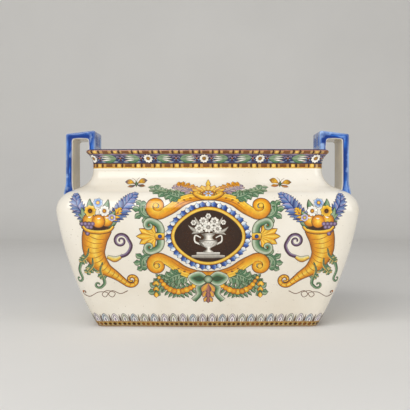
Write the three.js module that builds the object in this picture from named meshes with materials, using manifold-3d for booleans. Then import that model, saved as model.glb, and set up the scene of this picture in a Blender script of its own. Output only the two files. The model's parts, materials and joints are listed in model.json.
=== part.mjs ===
// A rectangular earthenware planter pot (jardiniere) with two squared strap handles.
// The pot is built from pressed clay pieces luted together before the firing: a foot slab, four wall
// panels mitred at the corners, a shoulder ring, a rim collar and two handles.
// Millimetres, +Z up. The origin is on the ground under the middle of the foot, and the long sides
// face -Y and +Y.

import * as THREE from "three";
import { mergeVertices } from "three/addons/utils/BufferGeometryUtils.js";
import Module from "manifold-3d";

const wasm = await Module();
wasm.setup();

// Driving dimensions of the plan
const WIDEST_LENGTH = 372.5; // corner to corner along X at the widest line
const WIDEST_DEPTH = 202; // the same along Y
const SIDE_SWELL = 3; // how far the middle of each side bows out past its corners
const FOOT_CORNER_RADIUS = 12;
const CORNER_GROWTH = 0.33; // how much the corner radius grows for each millimetre the wall moves out

// Driving dimensions of the section
const FOOT_INSET = 46; // the foot's edge, in from the widest line
const WIDEST_HEIGHT = 148;
const WALL_CURVE_RADIUS = 500; // the long swell of the wall, foot to shoulder
const SHOULDER_RADIUS = 25; // the convex turn above the widest line
const SHOULDER_SLOPE = 25; // degrees above level, between the shoulder's turn and the cove
const COVE_RADIUS = 24; // the hollow turn up into the neck
const NECK_INSET = 41; // the neck, in from the widest line
const NECK_BAND = 5.5; // upright part at the foot of the collar
const COLLAR_RISE = 15.3; // height of the collar's flare
const COLLAR_FLARE = 7; // how far the flare leans out
const LIP_RADIUS = 2.5;

// Thicknesses
const WALL = 8;
const FLOOR = 10;
const FLOOR_FILLET = 6; // the clay worked into the angle between floor and wall
const PANEL_REBATE = 1.5; // how deep the wall panels stand in the edge of the floor
const FOOT_RING_WIDTH = 13;
const FOOT_RECESS = 3;
const RECESS_SLOPE = 3; // the foot ring's inner side leans this far

// Handles
const STRAP_WIDTH = 54; // along Y
const STRAP_THICKNESS = 9;
const STRAP_EDGE = 2; // rounding of the strap's long edges
const HANDLE_SET_IN = 4.5; // the outer leg's outer face, in from the bowed end's widest line
const HANDLE_SPAN = 38.5; // outer face of the outer leg to the pot-side face of the inner leg
const HANDLE_RISE = 27; // top of the inner corner above the rim
const HANDLE_DROP = 4; // how much lower the outer corner is
const HANDLE_CORNER = 3;
const WINDOW_CORNER = 4; // rounding of the opening's upper corners
const ROOT_SPREAD = 3; // how far a leg spreads where it meets the pot
const ROOT_HEIGHT = 18; // height of the outer leg's spread
const RIM_ROOT_SPREAD = 1.5; // the same for the inner leg, on the rim
const RIM_ROOT_HEIGHT = 5;
const FLUTE_COUNT = 4; // upright flutes on the inner leg's pot-side face
const FLUTE_PITCH = 12;
const FLUTE_RADIUS = 5;
const FLUTE_DEPTH = 1.2;
const LUTE_GAP = 0.3; // the slip joint between a handle and the pot

// Fineness of the facets
const CORNER_STEPS = 6;
const LONG_SIDE_STEPS = 8;
const SHORT_SIDE_STEPS = 4;
const WALL_STEPS = 9;
const TURN_STEPS = 6;
const FINE_STEPS = 4;
const EDGE_STEPS = 2;

// Places worked out from the driving dimensions
const widestHalf = WIDEST_LENGTH / 2;
const depthDifference = (WIDEST_LENGTH - WIDEST_DEPTH) / 2;
const footHalf = widestHalf - FOOT_INSET;
const neckHalf = widestHalf - NECK_INSET;
const slope = THREE.MathUtils.degToRad(SHOULDER_SLOPE);
const shoulderCentre = new THREE.Vector2(widestHalf - SHOULDER_RADIUS, WIDEST_HEIGHT);
const coveCentre = new THREE.Vector2(neckHalf + COVE_RADIUS, 0);
coveCentre.y =
  WIDEST_HEIGHT +
  (SHOULDER_RADIUS + COVE_RADIUS - (coveCentre.x - shoulderCentre.x) * Math.sin(slope)) /
    Math.cos(slope);
const neckHeight = coveCentre.y;
const flareFoot = neckHeight + NECK_BAND;
const flareRadius = (COLLAR_FLARE ** 2 + COLLAR_RISE ** 2) / (2 * COLLAR_FLARE);
const flareAngle = Math.asin(COLLAR_RISE / flareRadius);
const lipCentre = new THREE.Vector2(
  neckHalf + COLLAR_FLARE - LIP_RADIUS * Math.cos(flareAngle),
  flareFoot + COLLAR_RISE + LIP_RADIUS * Math.sin(flareAngle),
);
const rimHeight = lipCentre.y + LIP_RADIUS;
const endMiddle = widestHalf + SIDE_SWELL; // the widest line at the middle of an end
const rimMiddle = lipCentre.x + LIP_RADIUS + SIDE_SWELL; // the lip's outermost line there

// Points on an arc about a centre, from one angle to another. Angle 0 points away from the pot's axis.
function arc(centre, radius, from, to, steps) {
  const points = [];
  for (let i = 0; i <= steps; i++) {
    const angle = from + ((to - from) * i) / steps;
    points.push(
      new THREE.Vector2(centre.x + radius * Math.cos(angle), centre.y + radius * Math.sin(angle)),
    );
  }
  return points;
}

// The centre of the wall's long arc, which passes through the foot's edge and is tangent to the
// shoulder's turn: it lies WALL_CURVE_RADIUS from the one and that less SHOULDER_RADIUS from the other.
function wallCentre() {
  const foot = new THREE.Vector2(footHalf, 0);
  const fromFoot = WALL_CURVE_RADIUS;
  const fromShoulder = WALL_CURVE_RADIUS - SHOULDER_RADIUS;
  const between = shoulderCentre.clone().sub(foot);
  const apart = between.length();
  const along = (apart ** 2 + fromFoot ** 2 - fromShoulder ** 2) / (2 * apart);
  const aside = Math.sqrt(fromFoot ** 2 - along ** 2);
  const direction = between.divideScalar(apart);
  return foot
    .addScaledVector(direction, along)
    .addScaledVector(new THREE.Vector2(-direction.y, direction.x), aside);
}

const longCentre = wallCentre();
const wallTopAngle = Math.atan2(
  shoulderCentre.y - longCentre.y,
  shoulderCentre.x - longCentre.x,
);

// The angle on the wall's long arc at a height, for the face that lies inset inside the outer one.
function wallAngle(height, inset) {
  return Math.asin((height - longCentre.y) / (WALL_CURVE_RADIUS - inset));
}

// The wall's face between two heights, then round the turn as far as the widest line.
function wallFace(inset, from) {
  const upright = arc(
    longCentre,
    WALL_CURVE_RADIUS - inset,
    wallAngle(from, inset),
    wallTopAngle,
    WALL_STEPS,
  );
  const turn = arc(shoulderCentre, SHOULDER_RADIUS - inset, wallTopAngle, 0, 1);
  return [...upright, ...turn.slice(1)];
}

const panelFoot = FLOOR - PANEL_REBATE;
const floorHalf = wallFace(WALL, FLOOR + FLOOR_FILLET)[0].x - FLOOR_FILLET; // the open floor's edge

// The shoulder's face from the widest line to the neck: convex turn, straight slope, hollow cove.
function shoulderFace(inset) {
  const turn = arc(
    shoulderCentre,
    SHOULDER_RADIUS - inset,
    0,
    Math.PI / 2 - slope,
    TURN_STEPS,
  );
  const cove = arc(
    coveCentre,
    COVE_RADIUS + inset,
    -Math.PI / 2 - slope,
    -Math.PI,
    TURN_STEPS,
  );
  return [...turn, ...cove];
}

// The collar's face from the neck up to the lip's level top.
function collarFace(inset) {
  const centre = new THREE.Vector2(neckHalf + flareRadius, flareFoot);
  const neck = new THREE.Vector2(neckHalf - inset, neckHeight);
  if (inset === 0) {
    return [
      neck,
      ...arc(centre, flareRadius, Math.PI, Math.PI - flareAngle, TURN_STEPS),
      ...arc(lipCentre, LIP_RADIUS, -flareAngle, Math.PI / 2, FINE_STEPS).slice(1),
    ];
  }
  const innerRadius = flareRadius + inset;
  const topAngle = Math.asin((rimHeight - LIP_RADIUS - flareFoot) / innerRadius);
  const flare = arc(centre, innerRadius, Math.PI, Math.PI - topAngle, TURN_STEPS);
  const inner = flare[flare.length - 1];
  const edge = arc(
    new THREE.Vector2(inner.x + LIP_RADIUS, inner.y),
    LIP_RADIUS,
    Math.PI,
    Math.PI / 2,
    FINE_STEPS,
  );
  return [neck, ...flare, ...edge.slice(1)];
}

// The corner radius of the plan where the outer face stands at this half length.
function cornerRadius(half, inset = 0) {
  const outer = FOOT_CORNER_RADIUS + CORNER_GROWTH * (half + inset - footHalf);
  return Math.max(outer - inset, 2);
}

// One side of the plan: a straight run that bows out smoothly in its middle.
function swell(t) {
  return SIDE_SWELL * (1 - t * t) ** 2;
}

// A ring of the plan at a half length, counterclockwise from the middle of the corner at +X -Y.
// Each side starts and ends at the middle of a corner, so that the panels mitre there.
function ring(half, height, inset = 0) {
  const radius = cornerRadius(half, inset);
  const halfX = half;
  const halfY = half - depthDifference;
  const points = [];
  const sides = [
    { turn: 0, run: halfY - radius, out: halfX, steps: SHORT_SIDE_STEPS },
    { turn: 1, run: halfX - radius, out: halfY, steps: LONG_SIDE_STEPS },
    { turn: 2, run: halfY - radius, out: halfX, steps: SHORT_SIDE_STEPS },
    { turn: 3, run: halfX - radius, out: halfY, steps: LONG_SIDE_STEPS },
  ];
  for (const side of sides) {
    const local = [];
    const halfCorner = CORNER_STEPS / 2;
    for (let i = 0; i < halfCorner; i++) {
      const angle = (-Math.PI / 4) * (1 - i / halfCorner);
      local.push([
        side.out - radius + radius * Math.cos(angle),
        -side.run + radius * Math.sin(angle),
      ]);
    }
    for (let i = 0; i <= side.steps; i++) {
      const t = -1 + (2 * i) / side.steps;
      local.push([side.out + swell(t), side.run * t]);
    }
    for (let i = 1; i < halfCorner; i++) {
      const angle = (Math.PI / 4) * (i / halfCorner);
      local.push([
        side.out - radius + radius * Math.cos(angle),
        side.run + radius * Math.sin(angle),
      ]);
    }
    const [cos, sin] = [
      [1, 0],
      [0, 1],
      [-1, 0],
      [0, -1],
    ][side.turn];
    for (const [x, y] of local) {
      points.push(new THREE.Vector3(x * cos - y * sin, x * sin + y * cos, height));
    }
  }
  return points;
}

// How many points of a ring each side has, in the order of ring's sides.
const SIDE_POINTS = [SHORT_SIDE_STEPS, LONG_SIDE_STEPS, SHORT_SIDE_STEPS, LONG_SIDE_STEPS].map(
  (steps) => CORNER_STEPS + steps,
);

function bufferGeometry(points, triangles) {
  const geometry = new THREE.BufferGeometry();
  geometry.setAttribute(
    "position",
    new THREE.Float32BufferAttribute(points.flatMap((p) => p.toArray()), 3),
  );
  geometry.setIndex(triangles.flat());
  return geometry;
}

// The two triangles of a facet between neighbouring rings.
function facet(a, b, c, d) {
  return [
    [a, b, c],
    [a, c, d],
  ];
}

// The facets of a flat cap, turning the same way as its outline.
function capFacets(outline) {
  const facets = THREE.ShapeUtils.triangulateShape(outline, []);
  return THREE.ShapeUtils.isClockWise(outline) ? facets.map(([a, b, c]) => [a, c, b]) : facets;
}

// A hollow band: rings carried round a closed section. The section runs up the outside and down the
// inside, so the facets point out of the clay.
function loftBand(rings) {
  const around = rings[0].length;
  const triangles = [];
  rings.forEach((_, i) => {
    const next = ((i + 1) % rings.length) * around;
    for (let j = 0; j < around; j++) {
      const k = (j + 1) % around;
      triangles.push(...facet(i * around + j, i * around + k, next + k, next + j));
    }
  });
  return bufferGeometry(rings.flat(), triangles);
}

// A panel: the same closed section over one side of the plan, with a flat mitre at each end.
function loftPanel(rings, start, count) {
  const across = count + 1;
  const total = rings[0].length;
  const points = rings.flatMap((r) =>
    Array.from({ length: across }, (_, j) => r[(start + j) % total]),
  );
  const triangles = [];
  rings.forEach((_, i) => {
    const next = ((i + 1) % rings.length) * across;
    for (let j = 0; j < count; j++) {
      triangles.push(...facet(i * across + j, i * across + j + 1, next + j + 1, next + j));
    }
  });
  const section = rings.map((r) => new THREE.Vector2(Math.abs(r[start].x), r[start].z));
  for (const [a, b, c] of capFacets(section)) {
    triangles.push([a * across, b * across, c * across]);
    triangles.push([a * across + count, c * across + count, b * across + count]);
  }
  return bufferGeometry(points, triangles);
}

// A solid block: rings stacked from the top down, with a flat cap on the first and the last.
function loftBlock(rings) {
  const around = rings[0].length;
  const triangles = [];
  for (let i = 0; i + 1 < rings.length; i++) {
    for (let j = 0; j < around; j++) {
      const k = (j + 1) % around;
      const upper = i * around;
      const lower = upper + around;
      triangles.push(...facet(lower + j, lower + k, upper + k, upper + j));
    }
  }
  const last = (rings.length - 1) * around;
  const outline = (points) => points.map((p) => new THREE.Vector2(p.x, p.y));
  triangles.push(...capFacets(outline(rings[0])));
  for (const [a, b, c] of capFacets(outline(rings[rings.length - 1]))) {
    triangles.push([last + a, last + c, last + b]);
  }
  return bufferGeometry(rings.flat(), triangles);
}

function ringsOf(outer, inner) {
  return [
    ...outer.map((p) => ring(p.x, p.y)),
    ...inner.toReversed().map((p) => ring(p.x, p.y, WALL)),
  ];
}

// Foot slab: the floor, with a rebate round it for the wall panels and a ground foot ring round a
// shallow recess underneath
function footSlab() {
  const edge = arc(
    longCentre,
    WALL_CURVE_RADIUS,
    wallAngle(0, 0),
    wallAngle(panelFoot, 0),
    FINE_STEPS,
  ).toReversed();
  const ringInner = footHalf - FOOT_RING_WIDTH;
  return loftBlock([
    ring(floorHalf, FLOOR, WALL),
    ring(floorHalf, panelFoot, WALL),
    ...edge.map((p) => ring(p.x, p.y)),
    ring(ringInner, 0, FOOT_RING_WIDTH),
    ring(ringInner - RECESS_SLOPE, FOOT_RECESS, FOOT_RING_WIDTH + RECESS_SLOPE),
  ]);
}

// The rings of the four wall panels, from the rebate of the floor to the widest line, with the fillet
// at the foot of the inner face
function wallRings() {
  const inner = wallFace(WALL, FLOOR + FLOOR_FILLET);
  const fillet = arc(
    new THREE.Vector2(floorHalf, FLOOR + FLOOR_FILLET),
    FLOOR_FILLET,
    -Math.PI / 2,
    0,
    FINE_STEPS,
  ).slice(0, -1);
  const seat = new THREE.Vector2(floorHalf, panelFoot);
  return ringsOf(wallFace(0, panelFoot), [seat, ...fillet, ...inner]);
}

// A closed mesh as a solid that can be cut.
function solidOf(geometry) {
  const bare = geometry.clone();
  bare.deleteAttribute("normal");
  bare.deleteAttribute("uv");
  const merged = mergeVertices(bare, 1e-4);
  return new wasm.Manifold(
    new wasm.Mesh({
      numProp: 3,
      vertProperties: new Float32Array(merged.attributes.position.array),
      triVerts: new Uint32Array(merged.index.array),
    }),
  );
}

function geometryOf(solid) {
  const mesh = solid.getMesh();
  const geometry = new THREE.BufferGeometry();
  geometry.setAttribute("position", new THREE.BufferAttribute(mesh.vertProperties, 3));
  geometry.setIndex(new THREE.BufferAttribute(mesh.triVerts, 1));
  return geometry;
}

// The whole pot as one solid lump, grown by the slip joint: what a handle's feet are cut with
function grownPot() {
  const grow = -LUTE_GAP;
  const outline = [...wallFace(grow, 0), ...shoulderFace(grow).slice(1)];
  const top = collarFace(0).slice(1);
  const rings = outline.map((p) => ring(p.x, p.y));
  for (const p of top) {
    const level = p.y > lipCentre.y ? LUTE_GAP * Math.sin((p.y - lipCentre.y) / LIP_RADIUS) : 0;
    rings.push(ring(p.x + LUTE_GAP, p.y + level));
  }
  const peak = rings[rings.length - 1].map((p) => p.clone().setZ(rimHeight + LUTE_GAP));
  rings[rings.length - 1] = peak;
  return solidOf(loftBlock(rings.toReversed()));
}

// A quarter turn between two points in the XZ plane, bending round the corner between them.
function bend(from, corner, to) {
  return new THREE.QuadraticBezierCurve(
    new THREE.Vector2(...from),
    new THREE.Vector2(...corner),
    new THREE.Vector2(...to),
  ).getPoints(FINE_STEPS);
}

// The strap's section between a point of its outer side and the one facing it across the thickness:
// a rectangle with rounded edges, as wide as the strap.
function strapSection(outside, inside) {
  const across = inside.clone().sub(outside);
  const thickness = across.length();
  across.normalize();
  const points = [];
  const corners = [
    [STRAP_EDGE, STRAP_EDGE - STRAP_WIDTH / 2, Math.PI],
    [thickness - STRAP_EDGE, STRAP_EDGE - STRAP_WIDTH / 2, -Math.PI / 2],
    [thickness - STRAP_EDGE, STRAP_WIDTH / 2 - STRAP_EDGE, 0],
    [STRAP_EDGE, STRAP_WIDTH / 2 - STRAP_EDGE, Math.PI / 2],
  ];
  for (const [depth, y, start] of corners) {
    for (let i = 0; i <= EDGE_STEPS; i++) {
      const angle = start + (Math.PI / 2) * (i / EDGE_STEPS);
      const d = depth + STRAP_EDGE * Math.cos(angle);
      const p = outside.clone().addScaledVector(across, d);
      points.push(new THREE.Vector3(p.x, y + STRAP_EDGE * Math.sin(angle), p.y));
    }
  }
  return points;
}

// The two rails a handle is drawn along, in the XZ plane, from the foot of its outer leg over the top
// to the foot of its inner leg: the strap's outer side, and the side that faces the opening.
function handleRails() {
  const outerFace = endMiddle - HANDLE_SET_IN;
  const innerFace = outerFace - HANDLE_SPAN;
  const topInner = rimHeight + HANDLE_RISE;
  const topOuter = topInner - HANDLE_DROP;
  const under = topOuter - STRAP_THICKNESS + HANDLE_DROP / 2;
  const legInside = outerFace - STRAP_THICKNESS;
  const postOutside = innerFace + STRAP_THICKNESS;
  const footOutside = WIDEST_HEIGHT;
  const footInside = WIDEST_HEIGHT + ROOT_HEIGHT;
  const seat = rimHeight - LIP_RADIUS;
  const corner = HANDLE_CORNER;
  const turn = WINDOW_CORNER;
  const outside = [
    ...bend(
      [outerFace + ROOT_SPREAD, footOutside],
      [outerFace, footOutside + ROOT_HEIGHT / 2],
      [outerFace, footOutside + 2 * ROOT_HEIGHT],
    ),
    ...bend(
      [outerFace, topOuter - corner],
      [outerFace, topOuter],
      [outerFace - corner, topOuter],
    ),
    ...bend(
      [innerFace + corner, topInner],
      [innerFace, topInner],
      [innerFace, topInner - corner],
    ),
    ...bend(
      [innerFace, rimHeight + RIM_ROOT_HEIGHT],
      [innerFace, seat],
      [innerFace - RIM_ROOT_SPREAD, seat],
    ),
  ];
  const facing = [
    ...bend(
      [legInside - ROOT_SPREAD, footInside - ROOT_HEIGHT / 2],
      [legInside, footInside],
      [legInside, footInside + ROOT_HEIGHT],
    ),
    ...bend([legInside, under - turn], [legInside, under], [legInside - turn, under]),
    ...bend([postOutside + turn, under], [postOutside, under], [postOutside, under - turn]),
    ...bend(
      [postOutside, rimHeight + RIM_ROOT_HEIGHT],
      [postOutside, seat],
      [postOutside + RIM_ROOT_SPREAD, seat],
    ),
  ];
  return { outside, facing, innerFace, topInner };
}

// A handle at the +X end: a strap drawn along its rails, fluted on the side that faces the mouth, with
// both feet cut to sit on the pot
function handleGeometry() {
  const { outside, facing, innerFace, topInner } = handleRails();
  let solid = solidOf(loftBlock(outside.map((p, i) => strapSection(p, facing[i]))));
  const fluteFoot = rimHeight + RIM_ROOT_HEIGHT;
  const fluteHeight = topInner - HANDLE_CORNER - fluteFoot;
  for (let i = 0; i < FLUTE_COUNT; i++) {
    const flute = new THREE.CapsuleGeometry(
      FLUTE_RADIUS,
      fluteHeight - 2 * FLUTE_RADIUS,
      FINE_STEPS,
      4 * FINE_STEPS,
    );
    flute.rotateX(Math.PI / 2);
    flute.translate(
      innerFace - FLUTE_RADIUS + FLUTE_DEPTH,
      (i - (FLUTE_COUNT - 1) / 2) * FLUTE_PITCH,
      fluteFoot + fluteHeight / 2,
    );
    solid = solid.subtract(solidOf(flute));
  }
  const pieces = solid.subtract(grownPot()).decompose();
  pieces.sort((a, b) => b.volume() - a.volume());
  return geometryOf(pieces[0]);
}

function glaze(color) {
  return new THREE.MeshStandardMaterial({ color, roughness: 0.12, metalness: 0 });
}

function piece(name, geometry, color) {
  const mesh = new THREE.Mesh(geometry, glaze(color));
  mesh.name = name;
  return mesh;
}

const CREAM = 0xece4d4;
const BORDER_BLUE = 0x3b4a86;
const HANDLE_BLUE = 0x2f5cb8;

const pot = new THREE.Group();
pot.add(piece("foot_slab", footSlab(), CREAM));

const walls = wallRings();
const PANEL_NAMES = ["right_end_wall", "back_wall", "left_end_wall", "front_wall"];
let firstPoint = 0;
PANEL_NAMES.forEach((name, i) => {
  pot.add(piece(name, loftPanel(walls, firstPoint, SIDE_POINTS[i]), CREAM));
  firstPoint += SIDE_POINTS[i];
});

pot.add(piece("shoulder_ring", loftBand(ringsOf(shoulderFace(0), shoulderFace(WALL))), CREAM));
pot.add(piece("rim_collar", loftBand(ringsOf(collarFace(0), collarFace(WALL))), BORDER_BLUE));

const handle = handleGeometry();
pot.add(piece("right_handle", handle, HANDLE_BLUE));
const leftHandle = piece("left_handle", handle.clone(), HANDLE_BLUE);
leftHandle.rotation.z = Math.PI;
pot.add(leftHandle);

export default pot;
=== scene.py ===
"""A rectangular glazed earthenware planter pot with squared strap handles and painted borders.

The pot's clay is a set of smooth surfaces worked out from the same sizes as its solids, and its
painting is laid on them as thin strokes of colour that follow the glaze. Lengths are in metres,
and the painting is drawn in millimetres.
"""

import json
import math

import bmesh
import bpy
import numpy as np
from bpy.props import FloatProperty, FloatVectorProperty, PointerProperty
from bpy.types import Operator, Panel, PropertyGroup
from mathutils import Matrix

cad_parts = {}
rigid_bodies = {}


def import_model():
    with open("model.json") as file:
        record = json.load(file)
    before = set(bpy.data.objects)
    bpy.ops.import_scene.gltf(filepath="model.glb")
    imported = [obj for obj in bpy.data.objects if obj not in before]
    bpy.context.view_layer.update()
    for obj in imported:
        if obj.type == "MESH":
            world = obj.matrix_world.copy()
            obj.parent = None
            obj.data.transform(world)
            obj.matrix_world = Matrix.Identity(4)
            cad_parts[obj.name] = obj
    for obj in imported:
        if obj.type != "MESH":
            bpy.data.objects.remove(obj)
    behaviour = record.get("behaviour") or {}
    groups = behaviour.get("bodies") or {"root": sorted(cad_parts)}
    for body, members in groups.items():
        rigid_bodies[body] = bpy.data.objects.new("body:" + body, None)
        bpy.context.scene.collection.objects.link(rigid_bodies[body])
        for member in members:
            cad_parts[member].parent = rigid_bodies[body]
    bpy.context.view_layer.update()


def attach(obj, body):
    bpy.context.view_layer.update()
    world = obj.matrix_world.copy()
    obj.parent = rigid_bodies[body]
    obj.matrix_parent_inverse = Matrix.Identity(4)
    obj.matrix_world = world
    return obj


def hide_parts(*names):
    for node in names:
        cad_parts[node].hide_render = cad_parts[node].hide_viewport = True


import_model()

bl_info = {
    "name": "Painted Planter Pot",
    "version": (1, 0, 0),
    "blender": (4, 5, 0),
    "location": "3D View > Sidebar > Planter",
    "description": "Builds a glazed planter pot with painted borders and strap handles",
    "category": "Add Mesh",
}

MM = 0.001
TOUCHING = 1e-9  # two points nearer than this are one
PHOTO_SIDE = 410  # pixels

# The plan has eight stretches: four sides, which have even numbers, and a corner after each.
RIGHT_END, BACK, LEFT_END, FRONT = range(4)
COLUMNS = (30, 16, 60, 16) * 2  # how many columns of a clay skin stand on each stretch


def tint(code):
    """A colour written as 0xRRGGBB, turned into the linear values that the shaders read: the usual
    curve of screens, straight near black and a power of 2.4 above it."""
    channels = np.array([code >> 16 & 255, code >> 8 & 255, code & 255]) / 255
    linear = np.where(channels <= 0.04045, channels / 12.92, ((channels + 0.055) / 1.055) ** 2.4)
    return tuple(float(c) for c in linear)


def length_of(name, description, value):
    """A property that holds a length in metres."""
    return FloatProperty(
        name=name, description=description, default=value, min=0.0, unit="LENGTH", precision=4
    )


def colour_of(name, description, code):
    """A property that holds a colour."""
    return FloatVectorProperty(
        name=name, description=description, default=tint(code), subtype="COLOR", min=0.0, max=1.0
    )


class PlanterSizes(PropertyGroup):
    """The sizes of the pot and its handles."""

    widest_length: length_of("Widest length", "Corner to corner along X", 0.3725)
    widest_depth: length_of("Widest depth", "Corner to corner along Y", 0.202)
    side_swell: length_of("Side swell", "How far the middle of a side bows out", 0.003)
    foot_corner: length_of("Foot corner", "Corner radius at the foot", 0.012)
    corner_growth: FloatProperty(
        name="Corner growth",
        description="Growth of the corner radius for each unit the wall moves out",
        default=0.33,
    )
    foot_inset: length_of("Foot inset", "The foot's edge, in from the widest line", 0.046)
    widest_height: length_of("Widest height", "Height of the widest line", 0.148)
    wall_curve: length_of("Wall curve", "Radius of the wall's long swell", 0.5)
    shoulder_radius: length_of("Shoulder radius", "The turn above the widest line", 0.025)
    shoulder_slope: FloatProperty(
        name="Shoulder slope",
        description="Slope above level between the shoulder's turn and the cove",
        default=math.radians(25),
        subtype="ANGLE",
    )
    cove_radius: length_of("Cove radius", "The hollow turn up into the neck", 0.024)
    neck_inset: length_of("Neck inset", "The neck, in from the widest line", 0.041)
    neck_band: length_of("Neck band", "Upright part at the foot of the collar", 0.0055)
    collar_rise: length_of("Collar rise", "Height of the collar's flare", 0.0153)
    collar_flare: length_of("Collar flare", "How far the flare leans out", 0.007)
    lip_radius: length_of("Lip radius", "Rounding of the lip", 0.0025)
    wall: length_of("Wall", "Thickness of the wall", 0.008)
    floor: length_of("Floor", "Thickness of the floor", 0.010)
    floor_fillet: length_of("Floor fillet", "Rounding between floor and wall", 0.006)
    foot_ring: length_of("Foot ring", "Width of the foot ring", 0.013)
    foot_recess: length_of("Foot recess", "Depth of the recess under the floor", 0.003)
    strap_width: length_of("Strap width", "Width of a handle's strap", 0.054)
    strap_thickness: length_of("Strap thickness", "Thickness of the strap", 0.009)
    strap_edge: length_of("Strap edge", "Rounding of the strap's long edges", 0.0022)
    handle_set_in: length_of("Handle set in", "Outer leg, in from the widest line", 0.0045)
    handle_span: length_of("Handle span", "Outer face to the face towards the mouth", 0.0385)
    handle_rise: length_of("Handle rise", "Top of the handle above the rim", 0.027)
    handle_drop: length_of("Handle drop", "How much lower the outer corner is", 0.004)
    handle_corner: length_of("Handle corner", "Rounding of the strap's bends", 0.003)
    window_corner: length_of("Window corner", "Rounding inside the bends", 0.004)


class PlanterColours(PropertyGroup):
    """The colours of the glazes, and of the inks that the decoration is painted in."""

    cream: colour_of("Cream glaze", "The ground of the pot", 0xF1EBDE)
    cream_pool: colour_of("Pooled cream", "Where the glaze lies thicker", 0xE8E0D0)
    speck: colour_of("Iron specks", "Small specks in the cream glaze", 0x8A6E4E)
    clay: colour_of("Bare clay", "Where the foot ring is wiped clean", 0xCDAA82)
    clay_dark: colour_of("Stained clay", "Where the bare clay has darkened", 0xA98259)
    # Painted shade: a darker warm beige that the cream inside the handles is mixed towards, away
    # from the strap's edges.
    inside_painted_shade: colour_of("Bare glaze", "The thin glaze inside the handles", 0xD2C092)
    cobalt_brushed: colour_of("Brushed cobalt", "The handles' blue", 0x266AC8)
    cobalt_pooled: colour_of("Pooled cobalt", "Where the blue has gathered", 0x163884)
    cobalt_worn: colour_of("Worn cobalt", "Where the blue breaks over an edge", 0xAECBF2)
    outline: colour_of("Outline", "Brown-black of the drawn lines", 0x493B22)
    umber: colour_of("Umber", "Darkest brown ground", 0x38200F)
    bark: colour_of("Bark", "Middle brown", 0x6E4628)
    rust: colour_of("Rust", "Shadow of the oranges", 0xAA611E)
    orange: colour_of("Orange", "Body of the oranges", 0xE0931C)
    amber: colour_of("Amber", "Light of the oranges", 0xEDB32D)
    yellow: colour_of("Yellow", "Highest light of the oranges", 0xF7D45A)
    fir: colour_of("Fir", "Shadow of the greens", 0x345A3C)
    leaf: colour_of("Leaf", "Body of the greens", 0x618762)
    sage: colour_of("Sage", "Light of the greens", 0xA1B291)
    mist: colour_of("Mist", "Highest light of the greens", 0xCED5BF)
    navy: colour_of("Navy", "Shadow of the blues", 0x273269)
    cobalt: colour_of("Cobalt", "Body of the blues", 0x3259A9)
    sky: colour_of("Sky", "Light of the blues", 0x86A4D0)
    ice: colour_of("Ice", "Highest light of the blues", 0xDAE3EC)
    plum: colour_of("Plum", "Shadow of the violets", 0x54384F)
    lilac: colour_of("Lilac", "Light of the violets", 0xAE9CBE)
    rose: colour_of("Rose", "Dull pink of the buds", 0xB4776A)
    ash: colour_of("Ash", "Shadow of the greys", 0x7D766C)
    stone: colour_of("Stone", "Light of the greys", 0xCFC8BB)
    chalk: colour_of("Chalk", "White of petals and highlights", 0xF8F4EA)


# The pot's form


def arc(centre, radius, start, end, step):
    """Points on a circle about centre, from one angle to another, no further apart than step."""
    angle = np.linspace(start, end, max(2, math.ceil(radius * abs(end - start) / step) + 1))
    return np.asarray(centre) + radius * np.column_stack([np.cos(angle), np.sin(angle)])


def run_of(path):
    """How far along a path each of its points lies: the running sum of the lengths between."""
    return np.append(0.0, np.cumsum(np.hypot(*np.diff(path, axis=0).T)))


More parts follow.
